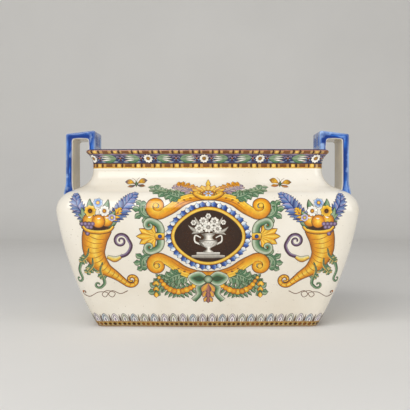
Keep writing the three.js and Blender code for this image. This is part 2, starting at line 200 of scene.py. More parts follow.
class Form:
    """The pot's section and plan.

    The outer face's section is a chain of tangent arcs. A point of it is named by its run, the
    length of section from the foot's edge, and a point of the plan by a stretch and a fraction of
    it: even stretches are the sides, odd ones the corners after them.
    """

    TABLE_STEP = 0.2 * MM
    LEAST_CORNER = 2 * MM

    def __init__(self, sizes):
        self.sizes = sizes
        self.half = sizes.widest_length / 2
        self.shortening = (sizes.widest_length - sizes.widest_depth) / 2
        self.foot = self.half - sizes.foot_inset
        self.neck = self.half - sizes.neck_inset
        self.tabulate(np.vstack(self.trace_section()))
        self.neck_run = self.run_at(self.neck_height)

    def trace_section(self):
        """The outer face's arcs: wall, shoulder turn, cove, flare and lip, which the slope and the
        neck join. The cove is as high as puts the slope on its tangent and the turn's. The flare
        starts upright and leans out by c over a rise h, so its radius is (c^2 + h^2) / 2c. The
        wall's centre is its radius from the foot's edge, and that less the turn's radius from the
        turn's centre, so that the two arcs touch."""
        s, step = self.sizes, self.TABLE_STEP
        slope = s.shoulder_slope
        turn = np.array([self.half - s.shoulder_radius, s.widest_height])
        cove_x = self.neck + s.cove_radius
        reach = s.shoulder_radius + s.cove_radius - (cove_x - turn[0]) * math.sin(slope)
        cove = np.array([cove_x, s.widest_height + reach / math.cos(slope)])
        self.neck_height = cove[1]
        flare_foot = self.neck_height + s.neck_band
        flare_radius = (s.collar_flare**2 + s.collar_rise**2) / (2 * s.collar_flare)
        flare_angle = math.asin(s.collar_rise / flare_radius)
        lip = np.array([
            self.neck + s.collar_flare - s.lip_radius * math.cos(flare_angle),
            flare_foot + s.collar_rise + s.lip_radius * math.sin(flare_angle),
        ])
        self.rim_height = lip[1] + s.lip_radius
        self.flare = (np.array([self.neck + flare_radius, flare_foot]), flare_radius)
        foot = np.array([self.foot, 0.0])
        between = turn - foot
        apart = np.hypot(*between)
        near = s.wall_curve - s.shoulder_radius
        along = (apart**2 + s.wall_curve**2 - near**2) / (2 * apart)
        aside = math.sqrt(s.wall_curve**2 - along**2)
        unit = between / apart
        wall = foot + unit * along + np.array([-unit[1], unit[0]]) * aside
        top = math.atan2(turn[1] - wall[1], turn[0] - wall[0])
        bottom = math.asin(-wall[1] / s.wall_curve)
        return (
            arc(wall, s.wall_curve, bottom, top, step),
            arc(turn, s.shoulder_radius, top, math.pi / 2 - slope, step),
            arc(cove, s.cove_radius, -math.pi / 2 - slope, -math.pi, step),
            arc(self.flare[0], flare_radius, math.pi, math.pi - flare_angle, step),
            arc(lip, s.lip_radius, -flare_angle, math.pi / 2, step / 2),
        )

    def tabulate(self, points):
        """Keeps half length, height and normal for runs a step apart along the section."""
        run = run_of(points)
        fresh = np.append(True, np.diff(run) > TOUCHING)
        run, points = run[fresh], points[fresh]
        self.runs = np.arange(0.0, run[-1], self.TABLE_STEP)
        self.halves, self.heights = (np.interp(self.runs, run, line) for line in points.T)
        rise, lean = (np.gradient(line, self.runs) for line in (self.heights, self.halves))
        size = np.hypot(rise, lean)
        self.normal_out, self.normal_up = rise / size, -lean / size
        self.end_run = self.runs[-1]

    def run_at(self, height):
        """The run at a height above the ground."""
        return np.interp(height, self.heights, self.runs)

    def section(self, run):
        """Half length, height, and the normal's outward and upward parts, at a run."""
        tables = (self.halves, self.heights, self.normal_out, self.normal_up)
        return tuple(np.interp(run, self.runs, table) for table in tables)

    def corner(self, half, inset=0.0):
        """The plan's corner radius where the outer face stands inset outside this half length."""
        s = self.sizes
        outer = s.foot_corner + s.corner_growth * (half + inset - self.foot)
        return np.maximum(outer - inset, self.LEAST_CORNER)

    def plan(self, stretch, part, half, radius):
        """Plan points and outward normals, for arrays of stretch number, part 0 to 1 of it, half
        length and corner radius. A side bows out by (1 - t^2)^2 of the swell, t from -1 to 1."""
        quarter = stretch // 2
        along_x = quarter % 2 == 0
        away = np.where(along_x, half, half - self.shortening)
        run = np.where(along_x, half - self.shortening, half) - radius
        t = 2 * part - 1
        swell = self.sizes.side_swell * (1 - t * t) ** 2
        tilt = 4 * self.sizes.side_swell * t * (1 - t * t) / run
        angle = part * math.pi / 2
        on_side = stretch % 2 == 0
        x = np.where(on_side, away + swell, away - radius + radius * np.cos(angle))
        y = np.where(on_side, run * t, run + radius * np.sin(angle))
        nx = np.where(on_side, 1 / np.hypot(1, tilt), np.cos(angle))
        ny = np.where(on_side, tilt / np.hypot(1, tilt), np.sin(angle))
        cos = np.array([1, 0, -1, 0])[quarter]
        sin = np.array([0, 1, 0, -1])[quarter]
        return x * cos - y * sin, x * sin + y * cos, nx * cos - ny * sin, nx * sin + ny * cos

    def locate(self, side, along, run):
        """Stretch and part of the points that lie along the plan, counted from a side's middle, at
        a run. Past the end of the side they go round the corner and on to the next one."""
        half = self.section(run)[0]
        radius = self.corner(half)
        long, short = 2 * (half - radius), 2 * (half - self.shortening - radius)
        quarter = radius * math.pi / 2
        lengths = np.stack([short, quarter, long, quarter] * 2)
        ends = np.cumsum(lengths, axis=0)
        middle = ends[2 * side] - lengths[2 * side] / 2
        at = (middle + along) % ends[-1]
        stretch = (at >= ends[:-1]).sum(axis=0)
        length, end = (np.take_along_axis(t, stretch[None], axis=0)[0] for t in (lengths, ends))
        return stretch, np.clip(1 - (end - at) / length, 0, 1)

    def girth(self, run):
        """The length of the plan right round at a run."""
        half = float(self.section(run)[0])
        radius = float(self.corner(half))
        return 4 * (2 * half - self.shortening - 2 * radius) + 2 * math.pi * radius

    def surface(self, stretch, part, run, lift):
        """Points on the outer face, raised by lift along its normal, and the normals."""
        half, height, out, up = self.section(run)
        x, y, nx, ny = self.plan(stretch, part, half, self.corner(half))
        normals = np.stack([out * nx, out * ny, up], axis=-1)
        return np.stack([x, y, height], axis=-1) + lift[..., None] * normals, normals

    def rings(self, rows):
        """A grid of points: a ring of the plan for each row of half length, height, inset of the
        face from the outer one, and the factor that the ring is drawn in by."""
        stretch = np.repeat(np.arange(8), COLUMNS)
        part = np.concatenate([np.arange(count) / count for count in COLUMNS])
        half, height, inset, drawn_in = np.array(rows).T[..., None]
        x, y, _, _ = self.plan(stretch, part, half, self.corner(half, inset))
        return np.stack([x * drawn_in, y * drawn_in, np.broadcast_to(height, x.shape)], axis=-1)


# Meshes

CAP_SHARE = 0.05  # of a skin's map goes to each of the fans that close it
SHARP_ANGLE = math.radians(35)
MERGE_GAP = 0.002 * MM


def grid_faces(rows, columns, wrap_rows=False, wrap_columns=False):
    """The four-sided faces of a grid, which may close on itself either way, and the place of each
    of their corners on a flat map of the grid."""
    r = np.arange(rows if wrap_rows else rows - 1)[:, None]
    c = np.arange(columns if wrap_columns else columns - 1)[None, :]
    corners, places = [], []
    for down, right in ((0, 0), (0, 1), (1, 1), (1, 0)):
        corners.append((r + down) % rows * columns + (c + right) % columns)
        places.append(np.stack(np.broadcast_arrays((c + right) / c.size, (r + down) / r.size), -1))
    faces = np.stack(np.broadcast_arrays(*corners), axis=-1).reshape(-1, 4)
    return faces, np.stack(places, axis=-2).reshape(-1, 2)


def make_object(name, points, faces, places, material, sharp_angle=SHARP_ANGLE):
    """A mesh object at the origin, smooth except where faces meet at more than the angle, with a
    flat map of its faces for baking."""
    mesh = bpy.data.meshes.new(name)
    mesh.from_pydata(points.reshape(-1, 3), [], [list(face) for face in faces])
    layer = mesh.uv_layers.new(name="OFBake")
    layer.uv.foreach_set("vector", np.asarray(places, dtype=np.float32).ravel())
    mesh.shade_smooth()
    if sharp_angle:
        mesh.set_sharp_from_angle(angle=sharp_angle)
    mesh.materials.append(material)
    made = bpy.data.objects.new(name, mesh)
    bpy.context.scene.collection.objects.link(made)
    return made


def skin(grid):
    """Points, faces and map of a grid of rings whose first and last rings close in a middle point.
    The closing fans lie in strips of the map under and over the rings."""
    rows, columns = grid.shape[:2]
    points = np.vstack([grid.reshape(-1, 3), grid[[0, -1]].mean(axis=1)])
    c = np.arange(columns)
    after = (c + 1) % columns
    faces, places = grid_faces(rows, columns, wrap_columns=True)
    faces, places = faces.tolist(), [places * (1, 1 - 2 * CAP_SHARE) + (0, CAP_SHARE)]
    for middle, base, first, second, tip, edge in (
        (0, 0, after, c, 0.0, CAP_SHARE),
        (1, (rows - 1) * columns, c, after, 1.0, 1 - CAP_SHARE),
    ):
        hub = np.full(columns, rows * columns + middle)
        faces += np.column_stack([hub, base + first, base + second]).tolist()
        x = np.column_stack([c + 0.5, c + 1 - middle, c + middle]) / columns
        places.append(np.stack([x, np.broadcast_to([tip, edge, edge], x.shape)], -1).reshape(-1, 2))
    return points, faces, np.vstack(places)


def settle(piece, slot, *nodes):
    """Fixes a piece to the pot's one body, in place of its solids. The slot is not used."""
    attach(piece, "root")
    if nodes:
        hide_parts(*nodes)


def store(mesh, name, kind, field, values):
    """Writes a value for each vertex of a mesh as an attribute. A skin's two middle points, which
    come last, get nought where the values leave them out."""
    layer = mesh.attributes.new(name, kind, "POINT")
    width = {"FLOAT": 1, "FLOAT_VECTOR": 3, "FLOAT_COLOR": 4}[kind]
    filled = np.zeros(width * len(mesh.vertices), dtype=np.float32)
    filled[: values.size] = values.ravel()
    layer.data.foreach_set(field, filled)


# Glazes

MIX_FACTOR, MIX_FIRST, MIX_SECOND, MIX_RESULT = 0, 6, 7, 2  # a Mix node's sockets for colours
GLAZE_IOR = 1.5


class Nodes:
    """Lays out a material's nodes. What a node is fed is the socket of another one, or a value."""

    def __init__(self, name):
        self.material = bpy.data.materials.new(name)
        self.material.use_nodes = True
        self.tree = self.material.node_tree
        self.shader = self.tree.nodes["Principled BSDF"]

    def feed(self, socket, value):
        """Links a socket to another one, or sets its value."""
        if hasattr(value, "is_output"):
            self.tree.links.new(value, socket)
        else:
            socket.default_value = value

    def add(self, kind, output, fed, **settings):
        """Adds a node and gives back one of its outputs."""
        node = self.tree.nodes.new("ShaderNode" + kind)
        for name, value in settings.items():
            setattr(node, name, value)
        for name, value in fed.items():
            self.feed(node.inputs[name], value)
        return node.outputs[output]

    def objects(self):
        """Object coordinates."""
        return self.add("TexCoord", "Object", {})

    def attribute(self, name, output="Fac"):
        """An attribute of the mesh."""
        return self.add("Attribute", output, {}, attribute_name=name)

    def noise(self, scale, detail=2.0, distortion=0.0, at=None):
        """Smooth noise of a size, in waves to the metre, in finer and finer layers."""
        at = self.objects() if at is None else at
        fed = {"Vector": at, "Scale": scale, "Detail": detail, "Distortion": distortion}
        return self.add("TexNoise", "Fac", fed)

    def range(self, source, low, high, to_low=0.0, to_high=1.0):
        """A number carried straight from one range to another, and held within it."""
        fed = {"Value": source, "From Min": low, "From Max": high}
        return self.add("MapRange", "Result", fed | {"To Min": to_low, "To Max": to_high})

    def work(self, operation, first, second):
        """Two numbers worked into one."""
        return self.add("Math", "Value", {0: first, 1: second}, operation=operation)

    def mix(self, factor, first, second):
        """Two colours mixed, the second by the factor."""
        first, second = (c if hasattr(c, "is_output") else (*c[:3], 1.0) for c in (first, second))
        fed = {MIX_FACTOR: factor, MIX_FIRST: first, MIX_SECOND: second}
        return self.add("Mix", MIX_RESULT, fed, data_type="RGBA")

    def finish_glaze(self, colour, roughness=(0.10, 0.2), wave=0.25, bare=None):
        """A glossy glaze: its colour, a gloss that varies a little, and a slow wave in its face.
        Where bare is 1 there is dull clay."""
        dull_clay, wave_height = 0.85, 0.6 * MM
        gloss = self.range(self.noise(38.0), 0.35, 0.7, *roughness)
        if bare is not None:
            gloss = self.work("MAXIMUM", gloss, self.range(bare, 0.0, 1.0, 0.0, dull_clay))
        fed = {"Strength": wave, "Distance": wave_height, "Height": self.noise(45.0, detail=3.0)}
        bump = self.add("Bump", "Normal", fed)
        looks = {"Base Color": colour, "Roughness": gloss, "Normal": bump, "IOR": GLAZE_IOR}
        for name, value in looks.items():
            self.feed(self.shader.inputs[name], value)
        return self.material


def cream_glaze(colours):
    """Cream-white tin glaze: slow pools of a warmer tone and a few small iron specks. The foot ring
    stands on bare clay, wiped clean of glaze up to half a millimetre before the firing."""
    nodes = Nodes("cream_glaze")
    wiped_below, glazed_above = 0.3 * MM, 0.7 * MM
    pools = nodes.range(nodes.noise(14.0, detail=4.0), 0.35, 0.68)
    ground = nodes.mix(pools, colours.cream, colours.cream_pool)
    specks = nodes.range(nodes.noise(620.0, detail=0.0), 0.815, 0.85, 0.0, 0.5)
    speckled = nodes.mix(specks, ground, colours.speck)
    height = nodes.add("SeparateXYZ", "Z", {"Vector": nodes.objects()})
    wiped = nodes.range(height, wiped_below, glazed_above, 1.0, 0.0)
    clay = nodes.mix(nodes.noise(90.0, detail=5.0), colours.clay, colours.clay_dark)
    return nodes.finish_glaze(nodes.mix(wiped, speckled, clay), bare=wiped)


def cobalt_glaze(colours):
    """Cobalt glaze brushed over the strap: streaked, deep where it pools and pale in patches on the
    edges, with bare cream glaze on the side that faces the opening. Away from that side's edges the
    cream is darkened to a warm beige as painted shade."""
    nodes = Nodes("cobalt_glaze")
    brushed, pooled, pale = colours.cobalt_brushed, colours.cobalt_pooled, colours.cobalt_worn
    streaks = (30.0, 360.0, 0.0)  # waves to the metre along the strap and round it
    fed = {0: nodes.attribute("brush", "Vector"), 1: streaks}
    drawn_out = nodes.add("VectorMath", "Vector", fed, operation="MULTIPLY")
    strokes = nodes.noise(1.0, detail=3.0, distortion=0.4, at=drawn_out)
    blue = nodes.mix(nodes.range(strokes, 0.44, 0.58), pooled, brushed)
    blue = nodes.mix(nodes.range(strokes, 0.6, 0.7, 0.0, 0.5), blue, pale)
    thick = nodes.range(nodes.noise(52.0, detail=3.0), 0.5, 0.62, 0.0, 0.7)
    thin = nodes.range(nodes.noise(70.0), 0.55, 0.66, 0.0, 0.7)
    blue = nodes.mix(thin, nodes.mix(thick, blue, pooled), pale)
    blue = nodes.mix(nodes.attribute("pooled"), blue, pooled)
    patches = nodes.range(nodes.noise(42.0, detail=3.0), 0.4, 0.6, 0.3, 1.0)
    blue = nodes.mix(nodes.work("MULTIPLY", nodes.attribute("edge"), patches), blue, pale)
    # Painted shade: the inside mask mixes the cream on the face towards the opening towards a
    # darker warm beige, unevenly by drift.
    drift = nodes.range(nodes.noise(20.0), 0.3, 0.7, 1.0, 0.6)
    inside = nodes.work("MULTIPLY", nodes.attribute("inside"), drift)
    clay = nodes.mix(inside, colours.cream, colours.inside_painted_shade)
    glazed = nodes.mix(nodes.attribute("bare"), blue, clay)
    return nodes.finish_glaze(glazed, roughness=(0.07, 0.15), wave=0.9)


def painted_glaze():
    """Painted decoration under the same gloss: the stroke's own colour, thicker here and thinner
    there as a brush leaves it."""
    nodes = Nodes("painted_glaze")
    washes = nodes.range(nodes.noise(260.0, detail=4.0, distortion=0.8), 0.3, 0.7, 0.84, 1.1)
    fed = {"Color": nodes.attribute("paint", "Color"), "Value": washes}
    return nodes.finish_glaze(nodes.add("HueSaturation", "Color", fed))


# Clay pieces


def body_rows(form):
    """The rows of the body's skin, from the middle of the underside, up the outer face to the neck
    and down the inner face to the middle of the floor. The inner face is the outer one, a wall's
    thickness in along its normal."""
    s = form.sizes
    rounding, bevel, bevel_width = 1 * MM, 0.2 * MM, 0.9 * MM
    to_recess = s.foot_ring + s.foot_recess
    draws = (0.15, 0.4, 0.7, 0.97, 1.0)
    rows = [(form.foot - to_recess, s.foot_recess, to_recess, drawn_in) for drawn_in in draws]
    for inset in (s.foot_ring, s.foot_ring - rounding, bevel_width):
        rows.append((form.foot - inset, 0.0, inset, 1.0))
    rows.append((form.foot - bevel, bevel, 0.0, 1.0))
    wall_end = form.run_at(s.widest_height - 4 * MM)
    wall, shoulder = np.linspace(rounding, wall_end, 44), np.linspace(wall_end, form.neck_run, 72)
    half, height, out, up = form.section(np.concatenate([wall[:-1], shoulder]))
    rows += [(h, z, 0.0, 1.0) for h, z in zip(half, height)]
    inner_half, inner_height = half - s.wall * out, height - s.wall * up
    floor_top = s.floor + s.floor_fillet
    keep = inner_height > floor_top + rounding
    inner = list(zip(inner_half[keep], inner_height[keep]))[::-1]
    inner[0] = (form.neck - s.wall, form.neck_height)
    toe = np.interp(floor_top, inner_height, inner_half)
    fillet = arc((toe - s.floor_fillet, floor_top), s.floor_fillet, 0, -math.pi / 2, 0.9 * MM)
    rows += [(h, z, s.wall, 1.0) for h, z in (*inner, *fillet)]
    return rows + [(fillet[-1][0], s.floor, s.wall, drawn_in) for drawn_in in (0.97, 0.8, 0.5, 0.2)]


def collar_rows(form):
    """The rows of the collar: up its outer face, over the lip and down the inner face, which has
    the flare's centre and a radius longer by the wall."""
    s = form.sizes
    half, height, _, _ = form.section(np.linspace(form.neck_run, form.end_run, 56))
    centre, radius = form.flare
    radius += s.wall
    top = math.asin((form.rim_height - s.lip_radius - centre[1]) / radius)
    inner = arc(centre, radius, math.pi - top, math.pi, 1.0 * MM)
    edge = arc(inner[0] + (s.lip_radius, 0), s.lip_radius, math.pi / 2, math.pi, 0.4 * MM)
    rows = [(h, z, 0.0, 1.0) for h, z in zip(half, height)]
    foot = (form.neck - s.wall, form.neck_height)
    return rows + [(h, z, s.wall, 1.0) for h, z in (*edge, *inner[1:], foot)]


def bend(start, corner, end, count=10):
    """A quarter turn from start to end, drawn towards the corner between them: start times
    (1 - t)^2, the corner times 2t(1 - t) and end times t^2."""
    t = np.linspace(0, 1, count)[:, None]
    start, corner, end = map(np.asarray, (start, corner, end))
    return (1 - t) ** 2 * start + 2 * t * (1 - t) * corner + t**2 * end


def thread(stretches, gaps):
    """Joins stretches of a line and spreads points evenly along each straight between them."""
    parts = [stretches[0]]
    for part, gap in zip(stretches[1:], gaps):
        t = np.linspace(0, 1, gap + 2)[1:-1, None]
        parts += [parts[-1][-1] * (1 - t) + part[0] * t, part]
    return np.vstack(parts)


def handle_rails(form):
    """The strap's outer side and the side that faces the opening, as two lines in the XZ plane with
    matching points, from the foot of the outer leg over the top to the foot of the inner leg. The
    outer leg flares at its foot by (3 - 2t) t^2 of the spread, t from 0 to 1 down the flare."""
    s = form.sizes
    outer = form.half + s.side_swell - s.handle_set_in
    inner = outer - s.handle_span
    top_in = form.rim_height + s.handle_rise
    top_out = top_in - s.handle_drop
    under = top_out - s.strap_thickness + s.handle_drop / 2
    leg, post = outer - s.strap_thickness, inner + s.strap_thickness
    c, w = s.handle_corner, s.window_corner
    post_root, post_spread, seat = 5 * MM, 1.5 * MM, form.rim_height - 1.8 * MM
    foot, leg_top = s.widest_height, s.widest_height + 36 * MM
    shoulder = foot + 21.5 * MM
    spread, flare_length = 2.9 * MM, 17 * MM
    sunk_foot, sink_top, sink = 3.5 * MM, 14 * MM, 0.9 * MM
    height = np.linspace(foot + sunk_foot, leg_top, 15)
    flare = np.clip((leg_top - height) / flare_length, 0, 1)
    sinking = np.clip((foot + sink_top - height) / (sink_top - sunk_foot), 0, 1)
    root_line = outer + spread * (3 - 2 * flare) * flare**2 - sink * sinking**2
    post_top = form.rim_height + post_root
    outside = (
        np.column_stack([root_line, height]),
        bend((outer, top_out - c), (outer, top_out), (outer - c, top_out)),
        bend((inner + c, top_in), (inner, top_in), (inner, top_in - c)),
        bend((inner, post_top), (inner, seat), (inner - post_spread, seat)),
    )
    facing = (
        bend((leg - 3 * MM, shoulder), (leg, shoulder + 4 * MM), (leg, leg_top), 15),
        bend((leg, under - w), (leg, under), (leg - w, under)),
        bend((post + w, under), (post, under), (post, under - w)),
        bend((post, post_top), (post, seat), (post + post_spread, seat)),
    )
    gaps = (24, 18, 22)
    return thread(outside, gaps), thread(facing, gaps)


def strap_section(sizes):
    """The strap's section once round, as depth from its outer side and place across its width. It
    is a rectangle with rounded edges."""
    edge, width, thickness = sizes.strap_edge, sizes.strap_width / 2, sizes.strap_thickness
    flat = width - edge
    turn = np.linspace(0, math.pi / 2, 7)
    sin, cos = edge * np.sin(turn), edge * np.cos(turn)
    across = np.linspace(-flat, flat, 81)[1:-1]
    short = np.linspace(edge, thickness - edge, 5)[1:-1]
    stretches = (
        (edge - sin, -flat - cos),
        (0 * across, across),
        (edge - cos, flat + sin),
        (short, 0 * short + width),
        (thickness - edge + sin, flat + cos),
        (0 * across + thickness, across[::-1]),
        (thickness - edge + cos, -flat - sin),
        (short[::-1], 0 * short - width),
    )
    return np.hstack(stretches)


FLUTE_PITCH, FLUTE_RADIUS, FLUTE_DEPTH = 12 * MM, 5 * MM, 1.2 * MM
POST_START = 0.55  # of the rails' points lie before the post towards the mouth


def flute_depth(form, place, height):
    """The depth of the four upright flutes in the face towards the mouth, at a place across and a
    height: a round gouge across, with round ends up and down."""
    low = form.rim_height + 5 * MM
    high = form.rim_height + form.sizes.handle_rise - form.sizes.handle_corner
    nearest = (np.round(place / FLUTE_PITCH - 0.5) + 0.5) * FLUTE_PITCH
    sideways = place - np.clip(nearest, -1.5 * FLUTE_PITCH, 1.5 * FLUTE_PITCH)
    beyond = np.maximum(np.maximum(low + FLUTE_RADIUS - height, height - high + FLUTE_RADIUS), 0)
    sagitta = np.sqrt(np.maximum(FLUTE_RADIUS**2 - np.hypot(sideways, beyond) ** 2, 0))
    return np.maximum(sagitta - (FLUTE_RADIUS - FLUTE_DEPTH), 0)


def handle_grid(form):
    """The handle at the +X end, as a grid of stations along the rails by points round the section,
    and what its glaze reads. A point lies on the straight between the rails, at its depth, and
    depths past the middle are counted back from the facing side, so that edges keep their radius.
    Bells of the shape exp(-x^2) mark the edges, the ridges and the line where the blue pools."""
    s = form.sizes
    outside, facing = handle_rails(form)
    between = facing - outside
    thickness = np.hypot(*between.T)[:, None]
    depth, place = strap_section(s)
    on_post = (np.arange(len(outside)) > len(outside) * POST_START)[:, None] & (depth < TOUCHING)
    sunk = np.where(depth > s.strap_thickness / 2, thickness - s.strap_thickness + depth, depth)
    sunk = np.where(on_post, flute_depth(form, place, outside[:, 1:]), sunk)
    x, z = (outside[:, k : k + 1] + between[:, k : k + 1] / thickness * sunk for k in (0, 1))
    grid = np.stack([x, np.broadcast_to(place, x.shape), z], axis=-1)

    def bell(distance, width):
        return np.exp(-((distance / width) ** 2))

    face = depth / s.strap_thickness
    from_side = s.strap_width / 2 - np.abs(place)
    from_ridge = np.abs(place) % FLUTE_PITCH
    ridge = 0.05 + 0.5 * bell(np.minimum(from_ridge, FLUTE_PITCH - from_ridge), 1.4 * MM)
    edge = bell(from_side + depth, 0.95 * s.strap_edge)
    bare_from, bare_fade, pool_at, pool_width = 0.84, 0.06, 0.74, 0.09  # shares of the thickness
    # Painted shade on the face towards the opening: none within shade_from of its side edges, full
    # past a further shade_fade. The inside layer carries it.
    shade_from, shade_fade = 1.6 * MM, 2.0 * MM
    shade = np.clip((from_side - shade_from) / shade_fade, 0, 1)
    along, around = run_of((outside + facing) / 2)[:, None], run_of(np.column_stack([depth, place]))
    layers = {
        "bare": np.clip((face - bare_from) / bare_fade, 0, 1),
        "edge": np.maximum(edge, np.where(on_post, ridge, 0)),
        "pooled": bell(face - pool_at, pool_width),
        "inside": np.where(face > 0.999, shade, 0),
    }
    layers = {name: np.broadcast_to(values, x.shape) for name, values in layers.items()}
    return grid, layers, np.stack(np.broadcast_arrays(along, around, 0 * x), axis=-1)


# The brush: curves and strokes on a flat sheet, in millimetres


def even(path, step):
    """The same path with its points spread evenly, no further apart than step."""
    run = run_of(path)
    at = np.linspace(0, run[-1], max(3, math.ceil(run[-1] / step) + 1))
    return np.column_stack([np.interp(at, run, line) for line in path.T])


def spline(*points, side=1, step=1.3):
    """A smooth curve through points: between two of them, the cubic whose slope at each is half
    the way from the point before it to the point after it. A side of -1 mirrors it in x."""
    p = np.array(points, float) * (side, 1)
    p = np.vstack([2 * p[:1] - p[1:2], p, 2 * p[-1:] - p[-2:-1]])
    a, b, c, d = (p[i : len(p) - 3 + i, None] for i in range(4))
    t = (np.arange(24) / 24)[None, :, None]
    curve = b + (c - a) * t / 2 + (a - 2.5 * b + 2 * c - d / 2) * t**2
    curve = (curve + (1.5 * b - 1.5 * c + d / 2 - a / 2) * t**3).reshape(-1, 2)
    return even(np.vstack([curve, p[-2]]), step)


def curl(path, radius, turns, left=True):
    """The path carried on in a curl, whose radius shrinks evenly as it turns to 0.15 of itself."""
    tip = 0.15
    heading = path[-1] - path[-2]
    heading = heading / np.hypot(*heading)
    sign = 1 if left else -1
    aside = sign * np.array([-heading[1], heading[0]])
    angle = np.linspace(0, 2 * math.pi * turns, max(12, math.ceil(radius * turns * 5)))
    shrinking = radius * (1 - (1 - tip) * angle / angle[-1])
    turned = math.atan2(-aside[1], -aside[0]) + sign * angle
    around = np.column_stack([np.cos(turned), np.sin(turned)])
    return np.vstack([path[:-1], path[-1] + aside * radius + shrinking[:, None] * around])


def loop(wide, high, at=(0.0, 0.0), lobes=0, depth=0.0, count=72):
    """A closed outline: an ellipse whose radius swells and sinks by depth in each of its lobes."""
    angle = np.linspace(0, 2 * math.pi, count + 1)
    radius = 1 - depth + depth * np.cos(lobes * angle)
    ellipse = np.column_stack([wide * np.cos(angle), high * np.sin(angle)])
    return np.array(at) + ellipse * radius[:, None]


def polar(reach, angle):
    """The point at a reach and an angle from the origin."""
    return reach * np.array([math.cos(angle), math.sin(angle)])


def directions(path):
    """The unit tangent and the normal to its left at each point of a path."""
    along = np.gradient(np.asarray(path, float), axis=0)
    along /= np.maximum(np.hypot(*along.T), TOUCHING)[:, None]
    return along, np.column_stack([-along[:, 1], along[:, 0]])


def leaf_pairs(path, places, reach, lean):
    """For each place t on a path its number, and root and tip of a leaf to each side: the leaf is
    reach(t) long and turned from the path by lean(t), in radians."""
    along, _ = directions(path)
    for k, t in enumerate(places):
        i = int(t * (len(path) - 1))
        heading = math.atan2(along[i, 1], along[i, 0])
        for side in (-1, 1):
            yield k, side, path[i], path[i] + polar(reach(t), heading + side * lean(t))


def blend(table, t, w):
    """Colours between the entries of a table, with t along it and w across it, both 0 to 1."""
    t, w = np.broadcast_arrays(t, w)

    def between(count, x):
        at = np.clip(x, 0, 1) * (count - 1)
        low = np.minimum(at.astype(int), max(count - 2, 0))
        return low, np.minimum(low + 1, count - 1), (at - low)[..., None]

    i, after_i, a = between(table.shape[0], t)
    j, after_j, b = between(table.shape[1], w)
    near = table[i, j] * (1 - a) + table[after_i, j] * a
    return near * (1 - b) + (table[i, after_j] * (1 - a) + table[after_i, after_j] * a) * b


